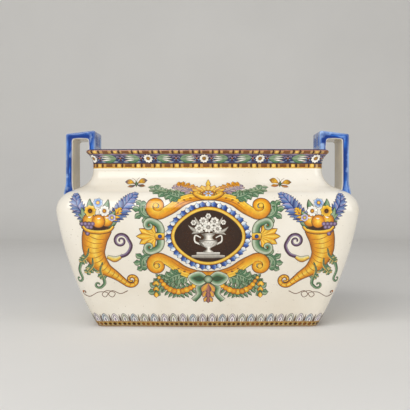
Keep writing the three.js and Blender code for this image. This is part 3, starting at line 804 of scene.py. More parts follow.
class Motif:
    """Strokes of glaze colour on a flat sheet. Each is a grid of points, a colour for each point
    and the layer that it lies in, as higher layers lie over lower ones.

    A stroke's colours are a recipe. Its words are inks side by side across the stroke, and a slash
    starts the next row of them along it. A word adds up inks, each times the factor after it: one
    number, or one each for red, green and blue."""

    PEN = 1.45  # drawn lines are this much wider than they say
    UNDER = 0.5  # layers from a stroke down to its outline
    SHADES, LIFT, LIFTS = 0.05, 0.04, 9
    LEAF_STEP, LEAST_WIDTH = 1.4, 0.02
    TIGHTEST = 0.95  # of a bend's radius is as far inside it as a stroke reaches

    def __init__(self, inks, seed=1, step=2.2):
        self.inks, self.step, self.strokes = inks, step, []
        self.chance = np.random.default_rng(seed)

    def colour(self, word):
        """One word of a recipe worked out."""
        terms = (term.partition("*") for term in word.split("+"))
        return sum(self.inks[ink] * np.array((by or "1").split(","), float) for ink, _, by in terms)

    def table(self, recipe):
        """The colours of a recipe by row and place. A list of words is a single row."""
        rows = [row.split() for row in recipe.split("/")] if isinstance(recipe, str) else [recipe]
        return np.array([[self.colour(word) for word in row] for row in rows])

    def lay(self, points, colours, layer):
        """Adds a stroke, a little lighter or darker than its colours by chance, and a little over
        the one before it."""
        shade = 1 + self.SHADES * self.chance.standard_normal()
        over = self.LIFT * (len(self.strokes) % self.LIFTS)
        self.strokes.append((points, np.clip(colours * shade, 0, 1), layer + over))

    def sweep(self, path, widths, normal, recipe, layer):
        """Lays the stroke whose point at w across, from -1 to 1, is the path's point plus w times
        half the width times the normal. On the inside of a bend it stops short of the bend's
        centre, which is at 1 over the turn per length, so that the stroke doesn't fold over."""
        w = np.linspace(-1, 1, 2 * max(1, math.ceil(widths.max() / self.step / 2)) + 1)[None]
        turn = np.gradient(normal, axis=0)
        length = np.maximum(np.hypot(*np.gradient(path, axis=0).T), TOUCHING)
        bend = (turn[:, 1] * normal[:, 0] - turn[:, 0] * normal[:, 1])[:, None] / length[:, None]
        aside = widths[:, None] * w / 2
        inside = aside * bend > self.TIGHTEST
        aside = np.where(inside, self.TIGHTEST / np.where(inside, bend, 1.0), aside)
        t = np.linspace(0, 1, len(path))[:, None]
        points = path[:, None] + normal[:, None] * aside[..., None]
        self.lay(points, blend(self.table(recipe), t, w / 2 + 0.5), layer)

    def ribbon(self, path, width, recipe, layer=1.0, line=0.0):
        """A stroke along a path, with a width or several spread evenly along it. A line round it
        is a wider stroke underneath."""
        path = np.asarray(path, float)
        t, given = np.linspace(0, 1, len(path)), np.linspace(0, 1, np.size(width))
        widths = np.interp(t, given, np.ravel(width))
        along, normal = directions(path)
        line *= self.PEN
        if line:
            ends = [0, *range(len(path)), -1]
            longer = np.vstack([path[:1] - along[:1] * line, path, path[-1:] + along[-1:] * line])
            wider = np.concatenate([[line], widths + 2 * line, [line]])
            self.sweep(longer, wider, normal[ends], "outline", layer - self.UNDER)
        self.sweep(path, widths, normal, recipe, layer)

    def band(self, around, low, high, recipe, layer=0.0):
        """A stroke right round the pot between two heights."""
        middle = np.column_stack([around, np.full_like(around, (low + high) / 2)])
        self.ribbon(middle, high - low, recipe, layer)

    def fill(self, outline, recipe, layer=1.0, line=0.0, centre=None):
        """A filled outline: the point at t out and w round is that share of the way from the
        centre to the outline. Its colours run outwards."""
        outline = np.asarray(outline, float)
        middle = outline[:-1].mean(axis=0) if centre is None else np.asarray(centre, float)
        spokes = outline - middle
        reach = np.hypot(*spokes.T)
        line *= self.PEN
        if line:
            wider = middle + spokes * (1 + line / reach)[:, None]
            self.fill(wider, "outline", layer - self.UNDER, centre=middle)
        t = np.linspace(0, 1, max(2, math.ceil(reach.max() / self.step) + 1))[:, None]
        outwards = self.table(recipe).reshape(-1, 1, 3)
        colours = blend(outwards, t, np.zeros((1, len(outline))))
        self.lay(middle + spokes * t[..., None], colours, layer)

    def bead(self, at, radius, recipe, layer=1.0, line=0.0, high=None):
        """A filled round, or an ellipse with another radius upwards."""
        high = high or radius
        count = max(10, math.ceil(5 * max(radius, high)))
        self.fill(loop(radius, high, at, count=count), recipe, layer, line)

    def leaf(self, start, end, width, recipe, bow=0.0, fat=0.45, layer=1.0, line=0.0, vein=None):
        """A pointed leaf on a midline that bows aside as a parabola does. Its width swells and
        falls as the sine of pi times t to a power that puts the widest place at fat."""
        start, end = np.asarray(start, float), np.asarray(end, float)
        reach = end - start
        aside = np.array([-reach[1], reach[0]])
        t = np.linspace(0, 1, max(5, math.ceil(np.hypot(*reach) / self.LEAF_STEP) + 1))
        path = start + reach * t[:, None] + aside * (4 * bow * t * (1 - t))[:, None]
        swell = np.sin(math.pi * t ** (math.log(0.5) / math.log(fat)))
        self.ribbon(path, width * np.maximum(swell, self.LEAST_WIDTH), recipe, layer, line)
        if vein is not None:
            part = path[: max(3, int(len(path) * 0.8))]
            self.ribbon(part, (0.16 * width, 0.02), vein, layer + 0.3)

    def leaves(self, places, *looks):
        """Alike leaves, each from a start to an end and bowed. Their looks are in a leaf's order:
        width, recipe, fat, layer, line and vein."""
        width, recipe, *rest = looks
        for start, end, bow in places:
            self.leaf(start, end, width, recipe, bow, *rest)

    def petals(self, at, count, radius, width, recipe, turn=0.0, inner=0.2, layer=1.0, line=0.3):
        """Leaves set round a point."""
        for angle in turn + 2 * math.pi * np.arange(count) / count:
            start, end = np.add(at, polar(radius * inner, angle)), np.add(at, polar(radius, angle))
            self.leaf(start, end, width, recipe, fat=0.62, layer=layer, line=line)

    def flower(self, at, radius, count, petal, heart, turn=0.0, layer=1.0, line=0.3):
        """An open flower: a ring of petals round a heart."""
        width = 2.4 * math.pi * radius / count * 0.72
        self.petals(at, count, radius, width, petal, turn, 0.15, layer, line)
        self.bead(at, radius * 0.32, heart, layer + 0.8, line * 0.8)

    def frond(self, path, length, count, recipes, layer=1.0, rib="navy"):
        """Leaflets on both sides of a midrib, longest a third of the way along it, that lean
        further forwards towards its tip."""

        def reach(t):
            return length * (0.25 + 0.75 * math.sin(math.pi * (0.22 + 0.74 * t)))

        def lean(t):
            return 0.9 * (1 - 0.45 * t)

        width = 0.34 * length
        for k, side, root, tip in leaf_pairs(path, np.linspace(0.04, 0.96, count), reach, lean):
            recipe = recipes[k % len(recipes)]
            self.leaf(root, tip, width, recipe, -0.1 * side, layer=layer, line=0.3)
        self.ribbon(path, (1.8, 0.5), rib, layer + 0.8)

    def acanthus(self, path, width, count, recipe, layer=1.0):
        """A broad leaf with rounded lobes: short fat leaves lean forwards from a midrib, and a
        plain leaf body lies over their roots. Lobes side by side lie in different layers."""

        def reach(t):
            return width * (0.3 + 0.36 * math.sin(math.pi * (0.25 + 0.7 * t)))

        shadow = recipe.split()[0]
        places = np.linspace(0.08, 0.86, count)
        for k, side, root, tip in leaf_pairs(path, places, reach, lambda t: 0.95):
            height, bow = layer + 0.3 * (k % 3), -0.16 * side
            self.leaf(root, tip, width * 0.42, recipe, bow, 0.6, height, 0.35)
            self.leaf(root, tip, 0.9, shadow, bow, layer=height + 0.2)
        t = np.linspace(0, 1, len(path))
        body = 0.3 * width * np.sin(math.pi * (0.12 + 0.86 * t)) ** 0.8
        self.ribbon(path, body, recipe, layer + 1.1)
        self.ribbon(path, (1.1, 0.3), shadow, layer + 1.4)

    def add(self, other, at=(0.0, 0.0), turn=0.0, size=1.0, mirror=(1, 1), layer=0.0):
        """Another motif's strokes, mirrored, sized, turned and moved."""
        cos, sin = math.cos(turn) * size, math.sin(turn) * size
        spin = np.array([[cos, sin], [-sin, cos]])
        for points, colours, depth in other.strokes:
            self.strokes.append((points * mirror @ spin + at, colours, depth + layer))


# How a painting lies on the glaze

LAYER = 0.05 * MM
MAP_MARGIN = 0.07  # of a stroke's cell on the map is left free at each edge


def lay_painting(name, motif, form, side, hold=None):
    """Lays a motif on the outer face as one piece. Across the sheet is the way along the plan from
    the side's middle, and up the sheet the run up the section. Lengths along the plan are counted
    at each point's own run, or all at the run that hold gives."""
    grids, colours, layers = zip(*motif.strokes)
    counts = [grid.shape[0] * grid.shape[1] for grid in grids]
    sheet = np.vstack([grid.reshape(-1, 2) for grid in grids])
    run = sheet[:, 1] * MM
    at = run if hold is None else np.full_like(run, hold)
    stretch, part = form.locate(side, sheet[:, 0] * MM, at)
    lift = LAYER * (1 + np.repeat(layers, counts))
    points, normals = form.surface(stretch, part, run, lift)
    cells = math.ceil(math.sqrt(len(grids)))
    faces, places, first = [], [], 0
    for k, (grid, count) in enumerate(zip(grids, counts)):
        made, spots = grid_faces(*grid.shape[:2])
        spots = spots * (1 - 2 * MAP_MARGIN) + MAP_MARGIN + (k % cells, k // cells)
        spots = (spots / cells).reshape(-1, 4, 2)
        if not faces_outwards(grid):
            made, spots = made[:, ::-1], spots[:, ::-1]
        faces.append(made + first)
        places.append(spots.reshape(-1, 2))
        first += count
    material = bpy.data.materials.get("painted_glaze") or painted_glaze()
    piece = make_object(name, points, np.vstack(faces), np.vstack(places), material, None)
    mesh = piece.data
    paint = np.vstack([stroke.reshape(-1, 3) for stroke in colours])
    rgba = np.column_stack([paint, np.ones(len(paint))])
    store(mesh, "paint", "FLOAT_COLOR", "color", rgba)
    store(mesh, "lie", "FLOAT_VECTOR", "vector", normals)
    close_poles(mesh)
    glaze_normals(mesh, mesh.attributes["lie"])
    settle(piece, "cream_glaze")


def faces_outwards(grid):
    """Whether a stroke's grid turns to the left: the sum over its cells of one diagonal crossed
    with the other."""
    down, up = grid[1:, 1:] - grid[:-1, :-1], grid[1:, :-1] - grid[:-1, 1:]
    return (down[..., 0] * up[..., 1] - down[..., 1] * up[..., 0]).sum() > 0


def close_poles(mesh):
    """Merges the points that coincide at the middles of fills and where closed strokes meet."""
    work = bmesh.new()
    work.from_mesh(mesh)
    bmesh.ops.remove_doubles(work, verts=work.verts, dist=MERGE_GAP)
    work.to_mesh(mesh)
    work.free()


def glaze_normals(mesh, lie):
    """Shades a painting by the normals of the glaze under it, so that it has the same gloss."""
    normals = np.empty(3 * len(mesh.vertices), dtype=np.float32)
    lie.data.foreach_get("vector", normals)
    mesh.normals_split_custom_set_from_vertices(normals.reshape(-1, 3))
    mesh.attributes.remove(lie)


# The borders


def rim_border(inks, form, girth):
    """The collar's border: a row of beads and dashes, a dark blue frieze of daisies and leaning
    lotus buds, another row of beads and dashes, and the blue lip."""
    m = Motif(inks, 11, 0.8)
    around = np.linspace(-girth / 2, girth / 2, 560)
    heights = np.array([199.7, 200.7, 206.0, 217.6, 222.2])
    foot, low_row, frieze, top_row, lip = form.run_at(heights * MM) / MM
    tan, slate, pearl = "amber*0.55+stone*0.2", "navy*0.7+ash*0.22", "yellow*0.75+stone*0.2"
    m.band(around, foot, low_row, "yellow*0.7+stone*0.2")
    m.band(around, low_row, frieze, "orange*0.72 amber*0.495+stone*0.18 orange*0.6")
    m.band(around, frieze, top_row, f"{slate} navy*0.8 {slate} {slate} lilac*0.5")
    m.band(around, frieze - 0.4, frieze + 0.9, "umber navy*0.5", 0.3)
    m.band(around, top_row, lip, f"rust*0.6 {tan} {tan} rose*0.9")
    m.band(around, lip, form.end_run / MM, "navy*0.45 navy*0.6 cobalt*0.6")
    dashes, first_dash = 33, -74.5
    period = girth / dashes
    for low, high, radius in ((low_row, frieze, 2.2), (top_row, lip, 1.9)):
        middle, wide = (low + high) / 2, (high - low) * 0.7
        for k in range(dashes):
            u = first_dash + period * k
            left, right, drift, swell, _, lean = m.chance.normal(0, 0.3, 6)
            dash = spline((u - 3.9 + left, middle), (u + 3.9 + right, middle))
            m.ribbon(dash, wide * (1 + 0.1 * left), "rust*0.5 bark*1.2 bark*1.4 rust*0.5", 1.6)
            u += period / 2 + 0.6 * drift
            m.bead((u, middle), radius + 0.4 * swell, f"{pearl} {pearl} amber", 2.0)
            for side in (-1, 1):
                at = (u + 3.9 * side + 0.6 * lean, middle + 0.3 * lean)
                high_radius = wide * (0.75 + 0.1 * right)
                m.bead(at, 1.35 + 0.3 * lean, "umber bark*0.8", 2.0, high=high_radius)
    # Five daisies show from the front, and the rest share out the way round the back.
    first_daisy, pitch = -142.7, 69.2
    daisies = [first_daisy + pitch * k for k in range(5)]
    daisies += [daisies[-1] + (girth - 4 * pitch) / 8 * k for k in range(1, 8)]
    lotus, daisy, knot = lotus_bud(inks), rim_daisy(inks), rim_knot(inks)
    height = (frieze + top_row) / 2
    for k, (u, after) in enumerate(zip(daisies, [*daisies[1:], first_daisy + girth])):
        m.add(daisy, (u, height), turn=0.4 * k)
        gap = after - u
        for share in (0.29, 0.71):
            size, turn = 1 + 0.025 * m.chance.standard_normal(), 0.035 * m.chance.standard_normal()
            m.add(lotus, (u + gap * share, height), turn, size, (1 if k % 2 else -1, 1))
        for share in (0.13, 0.5, 0.87):
            m.add(knot, (u + gap * share, height), 0.09 * m.chance.standard_normal())
        for share in (0.2, 0.4, 0.6, 0.8):
            patch, high = u + gap * share, top_row - 1.6
            m.bead((patch, frieze + 2.1), 3.8, "mist*0.66 sky*0.55", 0.6, 0.0, 1.1)
            m.leaf((patch - 4, high), (patch + 4, high), 1.5, "lilac*0.8", 0.16, layer=0.5)
    return m


def lotus_bud(inks):
    """A long bud lying on its side: green sepals behind and pale petals to the front."""
    m = Motif(inks, 5, 0.8)
    m.leaf((-9.8, 0), (9.0, 0), 10.4, "fir*0.6 leaf*0.75 fir*0.6", layer=1.0)
    for rise, green in ((-1, "fir leaf leaf"), (1, "leaf sage leaf")):
        m.leaf((-9.2, 0.4 * rise), (7, 3.9 * rise), 3.4, green, 0.12 * rise, layer=1.5)
    m.leaf((-9.4, 0), (1, 0), 4.2, "leaf sage*0.9 leaf", layer=1.7)
    for rise in (-3.3, 0.0, 3.3):
        pale = "stone / chalk / rose*1.2" if rise else "mist / chalk / chalk"
        m.leaf((-3.0, rise * 0.5), (9.6, rise), 1.5, pale, layer=2.1)
    return m


def rim_daisy(inks):
    """A white daisy on a dark round ground."""
    m = Motif(inks, 6, 0.8)
    m.bead((0, 0), 6.2, "navy*0.4", 0.9)
    m.flower((0, 0), 5.9, 10, "stone / chalk / chalk", "amber*0.5 bark", layer=2.2)
    m.bead((0, 0), 2.5, "amber*0.55 bark*1.4", 3.6)
    return m


def rim_knot(inks):
    """The small dark bud and its two tendrils between the larger flowers."""
    m = Motif(inks, 7, 0.8)
    m.leaf((0, -4.4), (0, 4.4), 4.4, "umber plum*0.6 umber", layer=0.9)
    m.leaf((-4.0, 0), (4.0, 0), 2.6, "umber plum*0.7", layer=0.9)
    m.bead((0, 0), 1.1, "rose rust", 1.3)
    for side in (-1, 1):
        arm = curl(spline((0.5, 1.2), (2.4, 2.6), side=side), 1.5, 0.7, side < 0)
        m.ribbon(arm, (0.9, 0.4), "lilac*0.9", 1.2)
        m.leaf((side * 0.6, -1.0), (side * 3.4, -2.9), 1.2, "sky*0.7", layer=1.2)
    return m


def foot_border(inks, girth):
    """The foot's border: dark beads on an ochre band, and a row of pointed tongues over it with
    a narrow spear between each two."""
    m = Motif(inks, 12, 1.2)
    around = np.linspace(-girth / 2, girth / 2, 420)
    sand = "stone*0.28+yellow*0.27"
    m.band(around, 0.9, 7.7, f"bark*1.3 {sand} {sand} {sand} amber*0.6")
    m.band(around, 7.5, 8.2, "bark")
    m.band(around, 8.1, 9.2, "amber*0.5+stone*0.3", 1.3)
    tongues = 66
    pitch = girth / tongues
    for k in range(2 * tongues):
        is_dark = k % 11 < 8
        dark = "umber*0.65,0.55,0.25 bark*0.65,0.55,0.25" if is_dark else "bark rust*0.5"
        drift, swell = m.chance.normal(0, 0.16, 2)
        at = (pitch / 2 * (k + 0.5) + drift, 4.8)
        m.bead(at, 2.5, "amber*0.6", 0.6, 0.0, 2.4)
        m.bead(at, 2.15 + swell, dark, 1.4, 0.0, 1.95 + swell)
    violet = "chalk*0.85 lilac*0.7+chalk*0.35 chalk*0.8"
    blue = "chalk*0.8 sky*0.5+mist*0.45 ice*0.8"
    grey = "chalk*0.8 mist*0.9 stone"
    washes = (violet, blue, violet, grey, blue, grey, blue, violet, grey)
    arches = ((0.2, "ash*0.7+lilac*0.12"), (1.9, "ash*0.7"), (3.3, "chalk"))
    brown = "bark*0.8 / ash*0.5+bark*0.3 / ash*0.5+bark*0.3 / rose*0.3+stone*0.4"
    olive = "bark*0.8 / sage*0.25+bark*0.8 / sage*0.25+bark*0.8 / sage*0.8"
    for k in range(tongues):
        drift, lift = m.chance.normal(0, 0.28, 2)
        u = pitch * (k + 0.5) + drift
        path = spline((u, 8.4), (u, 20.0 + lift))
        m.ribbon(path, (9.6, 10.2, 9.8, 8.2, 5.2, 0.4), washes[k % 9], 1.0)
        for inset, colour in arches:
            half, top = 5.0 - inset, 20.6 + lift - 1.4 * inset
            arch = spline((u - half * 0.94, 8.6), (u - half, 13.0), (u - half * 0.6, top - 2.8),
                          (u, top), (u + half * 0.6, top - 2.8), (u + half, 13.0),
                          (u + half * 0.94, 8.6))
            m.ribbon(arch, 0.7, colour, 1.5)
        m.leaf((u, 9.4), (u, 14.4), 1.8, "lilac*0.75", layer=1.9)
        beside = u + pitch / 2
        spear = olive if k % 5 == 3 else brown
        m.ribbon(spline((beside, 8.4), (beside, 19.3)), (1.8, 1.7, 1.4, 0.4), spear, 1.0)
    return m


# The pictures


def medallion(inks):
    """A four-lobed medallion, centred: an urn of flowers in greys on a dark brown ground, inside a
    yellow ring and a wreath of blue and pale petals."""
    m = Motif(inks, 21, 1.6)

    def lobed(wide, high, count=200):
        return loop(wide, high, lobes=4, depth=0.025, count=count)

    m.ribbon(lobed(46.0, 37.4), 8.0, "cobalt navy", 1.0)
    for k, (root, tip) in enumerate(zip(lobed(42.5, 34.0, 44)[:-1], lobed(51.4, 42.8, 44)[:-1])):
        pale = k % 2
        blue = "sky ice chalk" if pale else "navy cobalt sky"
        m.leaf(root, tip, 6.8 - 1.4 * pale, blue, 0, 0.62, 1.9 + 0.4 * pale, 0.4)
    m.ribbon(lobed(42.6, 34.2), 3.8, "rust amber yellow yellow orange", 4.4, 0.4)
    ground = "bark*0.42,0.4,0.2 umber*1,0.8,0.2 umber*0.8,0.64,0.16 umber*0.6,0.48,0.12"
    m.fill(lobed(41.4, 33.0), ground, 2.2)
    m.add(flower_urn(inks), layer=3.0)
    return m


def flower_urn(inks):
    """A footed urn of flowers in greys. The urn's stroke runs up its axis, and its width is the
    urn's outline."""
    m = Motif(inks, 22)
    m.ribbon(spline((-20, -25.2), (20, -25.2)), (3, 4.4, 4.4, 3), "ash stone", 0.2)
    m.ribbon(spline((-14, -21.6), (14, -21.6)), 3.4, "ash chalk", 0.4, 0.2)
    for side in (-1, 1):
        arm = spline((9, -1.5), (15.5, 1.2), (16, -6), (10.5, -9.5), side=side)
        m.ribbon(curl(arm, 1.6, 0.6, side < 0), (1.3, 2.0, 0.8), "chalk stone", 0.6, 0.25)
    outline = (13, 12, 5, 4.4, 8, 15, 20, 22.6, 22.8, 20.5, 15, 10.6, 9.6, 11, 15.5, 16.5)
    rounded = "ash stone chalk chalk stone ash ash*0.6"
    m.ribbon(spline((0, -20), (0, 3.6)), outline, rounded, 0.8, 0.3)
    for k in range(-4, 5):
        m.leaf((k * 0.9, -14.0), (k * 2.2, -6.6), 1.9, "ash chalk", 0.03 * k, 0.6, 1.6)
    m.ribbon(spline((-11, -4.6), (0, -5.3), (11, -4.6)), 0.9, "ash", 1.7)
    m.ribbon(spline((-7.8, 2.6), (0, 2.0), (7.8, 2.6)), 0.8, "ash", 1.7)
    foliage = (
        ((-4, 6), (-24, 14), 0.14), ((-3, 8), (-16, 24), 0.1), ((4, 6), (24, 12), -0.16),
        ((3, 8), (17, 24), -0.1), ((0, 8), (-1, 29), 0.05), ((-6, 5), (-20, 3), -0.12),
        ((6, 5), (21, 2), 0.12),
    )
    m.leaves(foliage, 4.6, "ash stone ash*0.8", 0.5, 0.9, 0.2)
    for x, y, radius, count in (
        (-11, 10, 5.4, 7), (11, 9.4, 5.2, 8), (-6, 19, 5.0, 8), (7.5, 18.6, 5.4, 7),
        (0, 11.4, 6.8, 9), (-17.5, 17, 3.4, 6), (18, 17.4, 3.2, 6), (0, 25, 3.4, 6),
    ):
        layer = 1.6 + 0.3 * (radius > 6)
        petal = "stone chalk chalk stone"
        m.flower((x, y), radius, count, petal, "stone ash", 0.3 * x, layer, 0.25)
    return m


def volute(inks):
    """An orange scroll that sweeps out from the top middle of the frame and ends in a curl at its
    upper corner, with green leaves springing from its back and its curl."""
    m = Motif(inks, 23)
    green = "fir leaf leaf sage leaf"
    m.acanthus(spline((22, 49), (36, 53), (50, 57), (63, 66), (66, 78)), 21, 7, green, 0.6)
    m.acanthus(spline((33, 47), (42, 50), (48, 55)), 15, 4, green, 4.4)
    m.acanthus(spline((62, 26), (74, 24), (81, 31), (80, 42)), 17, 5, green, 0.6)
    scroll = curl(spline((-1, 49.5), (16, 49.0), (31, 43.5), (44, 34), (56, 27)), 11.0, 1.45)
    widths = (9, 12.4, 12.6, 10.4, 8.0, 6.2, 4.6, 3.4, 2.4)
    m.ribbon(scroll, widths, "rust orange orange amber amber yellow", 3.0, 0.5)
    m.bead(scroll[-1], 2.8, "yellow amber", 4.0, 0.4)
    for drop, colour in ((-2.2, "rust"), (2.6, "yellow")):
        line = spline((10, 49.2 + drop), (30, 43.4 + drop), (44, 33.6 + drop))
        m.ribbon(line, (0.3, 1.1, 0.3), colour, 3.4)
    for k in range(4):
        x, y = 12 + 7.5 * k, 49.4 - 0.9 * k - 0.55 * k * k
        m.leaf((x, y - 1.5), (x + 4.6, y + 0.4), 2.4, "rust bark", 0, layer=3.5)
    return m


def side_scroll(inks):
    """A green C-shaped scroll between the upper and lower curls, with a fan of yellow petals
    behind its clasp, pointing right."""
    m = Motif(inks, 24)
    for k in (-3, 3, -2, 2, -1, 1, 0):
        tip = (59, 0) + polar(27 - 1.9 * abs(k), 0.38 * k)
        layer = 1.6 - 0.15 * abs(k)
        m.leaf((59, 0), tip, 7.4, "orange amber yellow amber rust", -0.05 * k, 0.68, layer, 0.45)
    green = "fir leaf leaf sage mist sage".split()
    for side in (-1, 1):
        arm = spline((58, 0), (57, side * 8), (60, side * 15), (68, side * 19))
        widths = (8.6, 8.0, 7.0, 5.0, 3.6, 2.4)
        m.ribbon(curl(arm, 6.0, 1.0, side < 0), widths, green[::side], 2.4, 0.5)
    m.ribbon(spline((52.6, 0), (63.6, 0)), (7.4, 8.2, 7.4), "rust amber yellow", 3.4, 0.45)
    m.bead((58, 0), 2.2, "cobalt navy", 4.0, 0.3)
    return m


def crest(inks):
    """The shell at the top of the frame, with a small orange scroll under it and violet leaves
    and tendrils to each side."""
    m = Motif(inks, 25)
    for side in (-1, 1):
        path = spline((10, 56), (21, 61), (32, 70), (43, 74), side=side)
        m.acanthus(path, 17, 6, "plum lilac stone rose", 1.0)
        path = spline((8, 62), (19, 72), (29, 78), (40, 80), side=side)
        m.acanthus(path, 12, 6, "rust orange amber orange", 1.2)
    for k in (-4, 4, -3, 3, -2, 2, -1, 1, 0):
        tip = (0, 54) + polar(25 - 0.6 * abs(k), math.pi / 2 - 0.34 * k)
        layer = 2.6 - 0.12 * abs(k)
        m.leaf((0, 52), tip, 7.8, "rust amber yellow amber orange", 0, 0.72, layer, 0.45)
    m.bead((0, 55), 7.4, "yellow orange rust", 3.4, 0.45)
    m.petals((0, 55), 6, 6.0, 3.4, "sky ice sky", layer=3.9)
    m.bead((0, 55), 1.9, "amber rust", 4.6)
    for side in (-1, 1):
        arm = curl(spline((0, 47.4), (8, 48.4), (15, 53), side=side), 4.2, 1.1, side > 0)
        m.ribbon(arm, (6, 5.2, 4, 2), "rust amber yellow".split()[::side], 3.4, 0.45)
    m.leaf((0, 76), (0, 87.5), 5.2, "amber yellow amber", 0, 0.35, 2.2, 0.35)
    return m


def pendant(inks):
    """The bow under the frame, three hanging bellflowers, and the two festoons of fruit that hang
    from the lower curls to the bow."""
    m = Motif(inks, 26)
    green = "fir leaf sage mist".split()
    for side in (-1, 1):
        swag = spline((60, -53), (51, -66), (37, -72), (22, -67), (9, -57), side=side, step=5.4)
        for k, at in enumerate(swag):
            radius = 2.0 + 1.9 * math.sin(math.pi * k / (len(swag) - 1))
            for way in ((-2.6, -3.1), (-2.6, 3.1), (2.6, -3.1), (2.6, 3.1)):
                tip = at + np.multiply(way, radius * 0.72)
                m.leaf(at, tip, 3.4, "fir leaf sage", 0, 0.55, 1.2, 0.35)
            fruit = "amber orange rust" if k % 2 else "yellow amber orange"
            m.bead(at, radius, fruit, 2.2 + 0.1 * (k % 3), 0.4)
        wing = spline((1, -54), (11, -48), (22, -53), (12, -60.5), (1, -55.5), side=side)
        m.fill([*wing, wing[0]], "fir*0.8 fir", 3.0, centre=(side * 11, -54.5))
        m.ribbon(wing, (3.6, 6.4, 5.6, 6.4, 3.6), green[::side], 3.9, 0.45)
        tail = spline((2, -57), (12, -66), (11, -75), (18, -84), side=side)
        m.ribbon(tail, (3.4, 6.4, 5.6, 6.4), green[::side], 2.8, 0.45)
        for k, radius in enumerate((3.4, 2.9, 2.2)):
            x, y, layer = side * 64, -60 - 7.6 * k, 1.6 - 0.2 * k
            drop = "rust amber yellow orange"
            m.leaf((x, y + 4.5), (x, y - 5), 2.5 * radius, drop, 0, 0.66, layer, 0.4)
            m.bead((x, y + 3.8), 1.5, "leaf fir", 2.2, 0.3)
    for k, size in enumerate((7.6, 6.4, 5.0)):
        y = -60 - 9.0 * k
        for lean in (-0.6, 0.6, 0.0):
            tip = (size * 1.8 * math.sin(lean), y - size * 1.9 * math.cos(lean))
            husk = "rose amber rose" if lean else "plum rose plum"
            m.leaf((0, y), tip, size * 1.05, husk, 0, 0.6, 2.4 - 0.3 * k + 0.1 * (not lean), 0.4)
    m.bead((0, -55), 5.0, "mist sage fir", 4.8, 0.45)
    return m


def frame_ornament(inks):
    """The whole central picture, centred on its medallion."""
    m = Motif(inks, 27)
    m.add(medallion(inks), layer=0.6)
    scroll, palm = volute(inks), side_scroll(inks)
    for side in (1, -1):
        m.add(scroll, mirror=(side, 1))
        m.add(scroll, mirror=(side, -1))
        m.add(palm, mirror=(side, 1), layer=0.6)
    m.add(crest(inks), layer=1.4)
    m.add(pendant(inks), layer=1.2)
    return m


def cornucopia(inks):
    """A horn of plenty for the left of a side, centred on its own picture: an orange horn that
    ends in a curl, fruit and flowers over its mouth, blue fronds, a violet tendril, green leaves
    and a fine brown flourish. The lines across the horn bow towards its tip as parabolas."""
    m = Motif(inks, 31)
    slate, pale = "cobalt*0.55+ash*0.3", "sky*0.7+ash*0.15"
    blues = (f"cobalt {pale} lilac", f"navy {slate} {pale}")
    m.frond(spline((-12, 30), (-20, 40), (-27, 52), (-30, 67)), 13, 11, blues, layer=0.6)
    m.frond(spline((12, 32), (22, 41), (32, 53), (42, 68)), 15, 13, blues, layer=0.6)
    ears = ("orange amber yellow",)
    m.frond(spline((10, 30), (18, 38), (25, 46)), 9, 6, ears, layer=1.6, rib="rust")
    horn = spline((-2, 24), (-7, 8), (-7, -10), (3, -27), (18, -38), (31, -49))
    tail = curl(horn, 8.0, 1.25)
    share = len(horn) / len(tail)
    at = np.append(np.array([0, 0.12, 0.3, 0.5, 0.7, 0.86, 1.0]) * share, [0.5 + share / 2, 1.0])
    widths = np.interp(np.linspace(0, 1, len(tail)), at, [33, 31, 27, 20, 13, 8.5, 6, 3.4, 1.6])
    m.ribbon(tail, widths, "rust orange amber yellow amber orange rust", 2.0, 0.5)
    along, normal = directions(tail)
    w = np.linspace(-0.48, 0.48, 13)[:, None]
    for i in range(7, int(len(tail) * 0.93), 5):
        bowed = along[i] * (0.5 - 2 * w * w) * 0.35
        m.ribbon(tail[i] + (normal[i] * w + bowed) * widths[i], (0.3, 0.9, 0.3), "rust", 2.8)
    for x, y, tip_x, tip_y, bow in (
        (-14, -2, -24, -20, 0.1), (-10, -14, -18, -34, 0.12), (2, -20, 2, -41, -0.1),
    ):
        middle = ((x + tip_x) / 2 + 30 * bow, (y + tip_y) / 2)
        m.acanthus(spline((x, y), middle, (tip_x, tip_y)), 12, 5, "fir leaf sage amber", 1.2)
    for path in (((-24, -20), (-27, -30), (-24, -40)), ((2, -40), (3, -48), (-1, -53))):
        sprig = curl(spline(*path), 5.0, 0.9, False)
        m.ribbon(sprig, (3.4, 2.4, 1.0), "fir leaf sage", 1.6, 0.3)
    bell = spline((8, -13), (17, -16), (24, -13))
    m.ribbon(bell, (4, 7, 4), "rust yellow mist", 2.4, 0.35)
    tendril = curl(spline((23, -13), (32, -9), (37, 1), (33, 11)), 9.0, 1.5)
    m.ribbon(tendril, (3.6, 3.2, 2.6, 1.8, 1.2), "plum plum lilac", 2.0, 0.3)
    line = spline((31, -58), (22, -62), (12, -58), (7, -63), (12, -67), (15, -61), (5, -58),
                  (-1, -63), (3, -67), (6, -61), (-5, -60), (-16, -66), (-24, -64))
    m.ribbon(curl(line, 3.4, 0.9, False), (1.0, 0.8, 0.8, 0.8, 1.6), "bark", 1.0)
    m.bead((-25.5, -59.5), 1.7, "rust", 1.6)
    m.add(fruit_heap(inks), (-2, 24), layer=1.6)
    return m


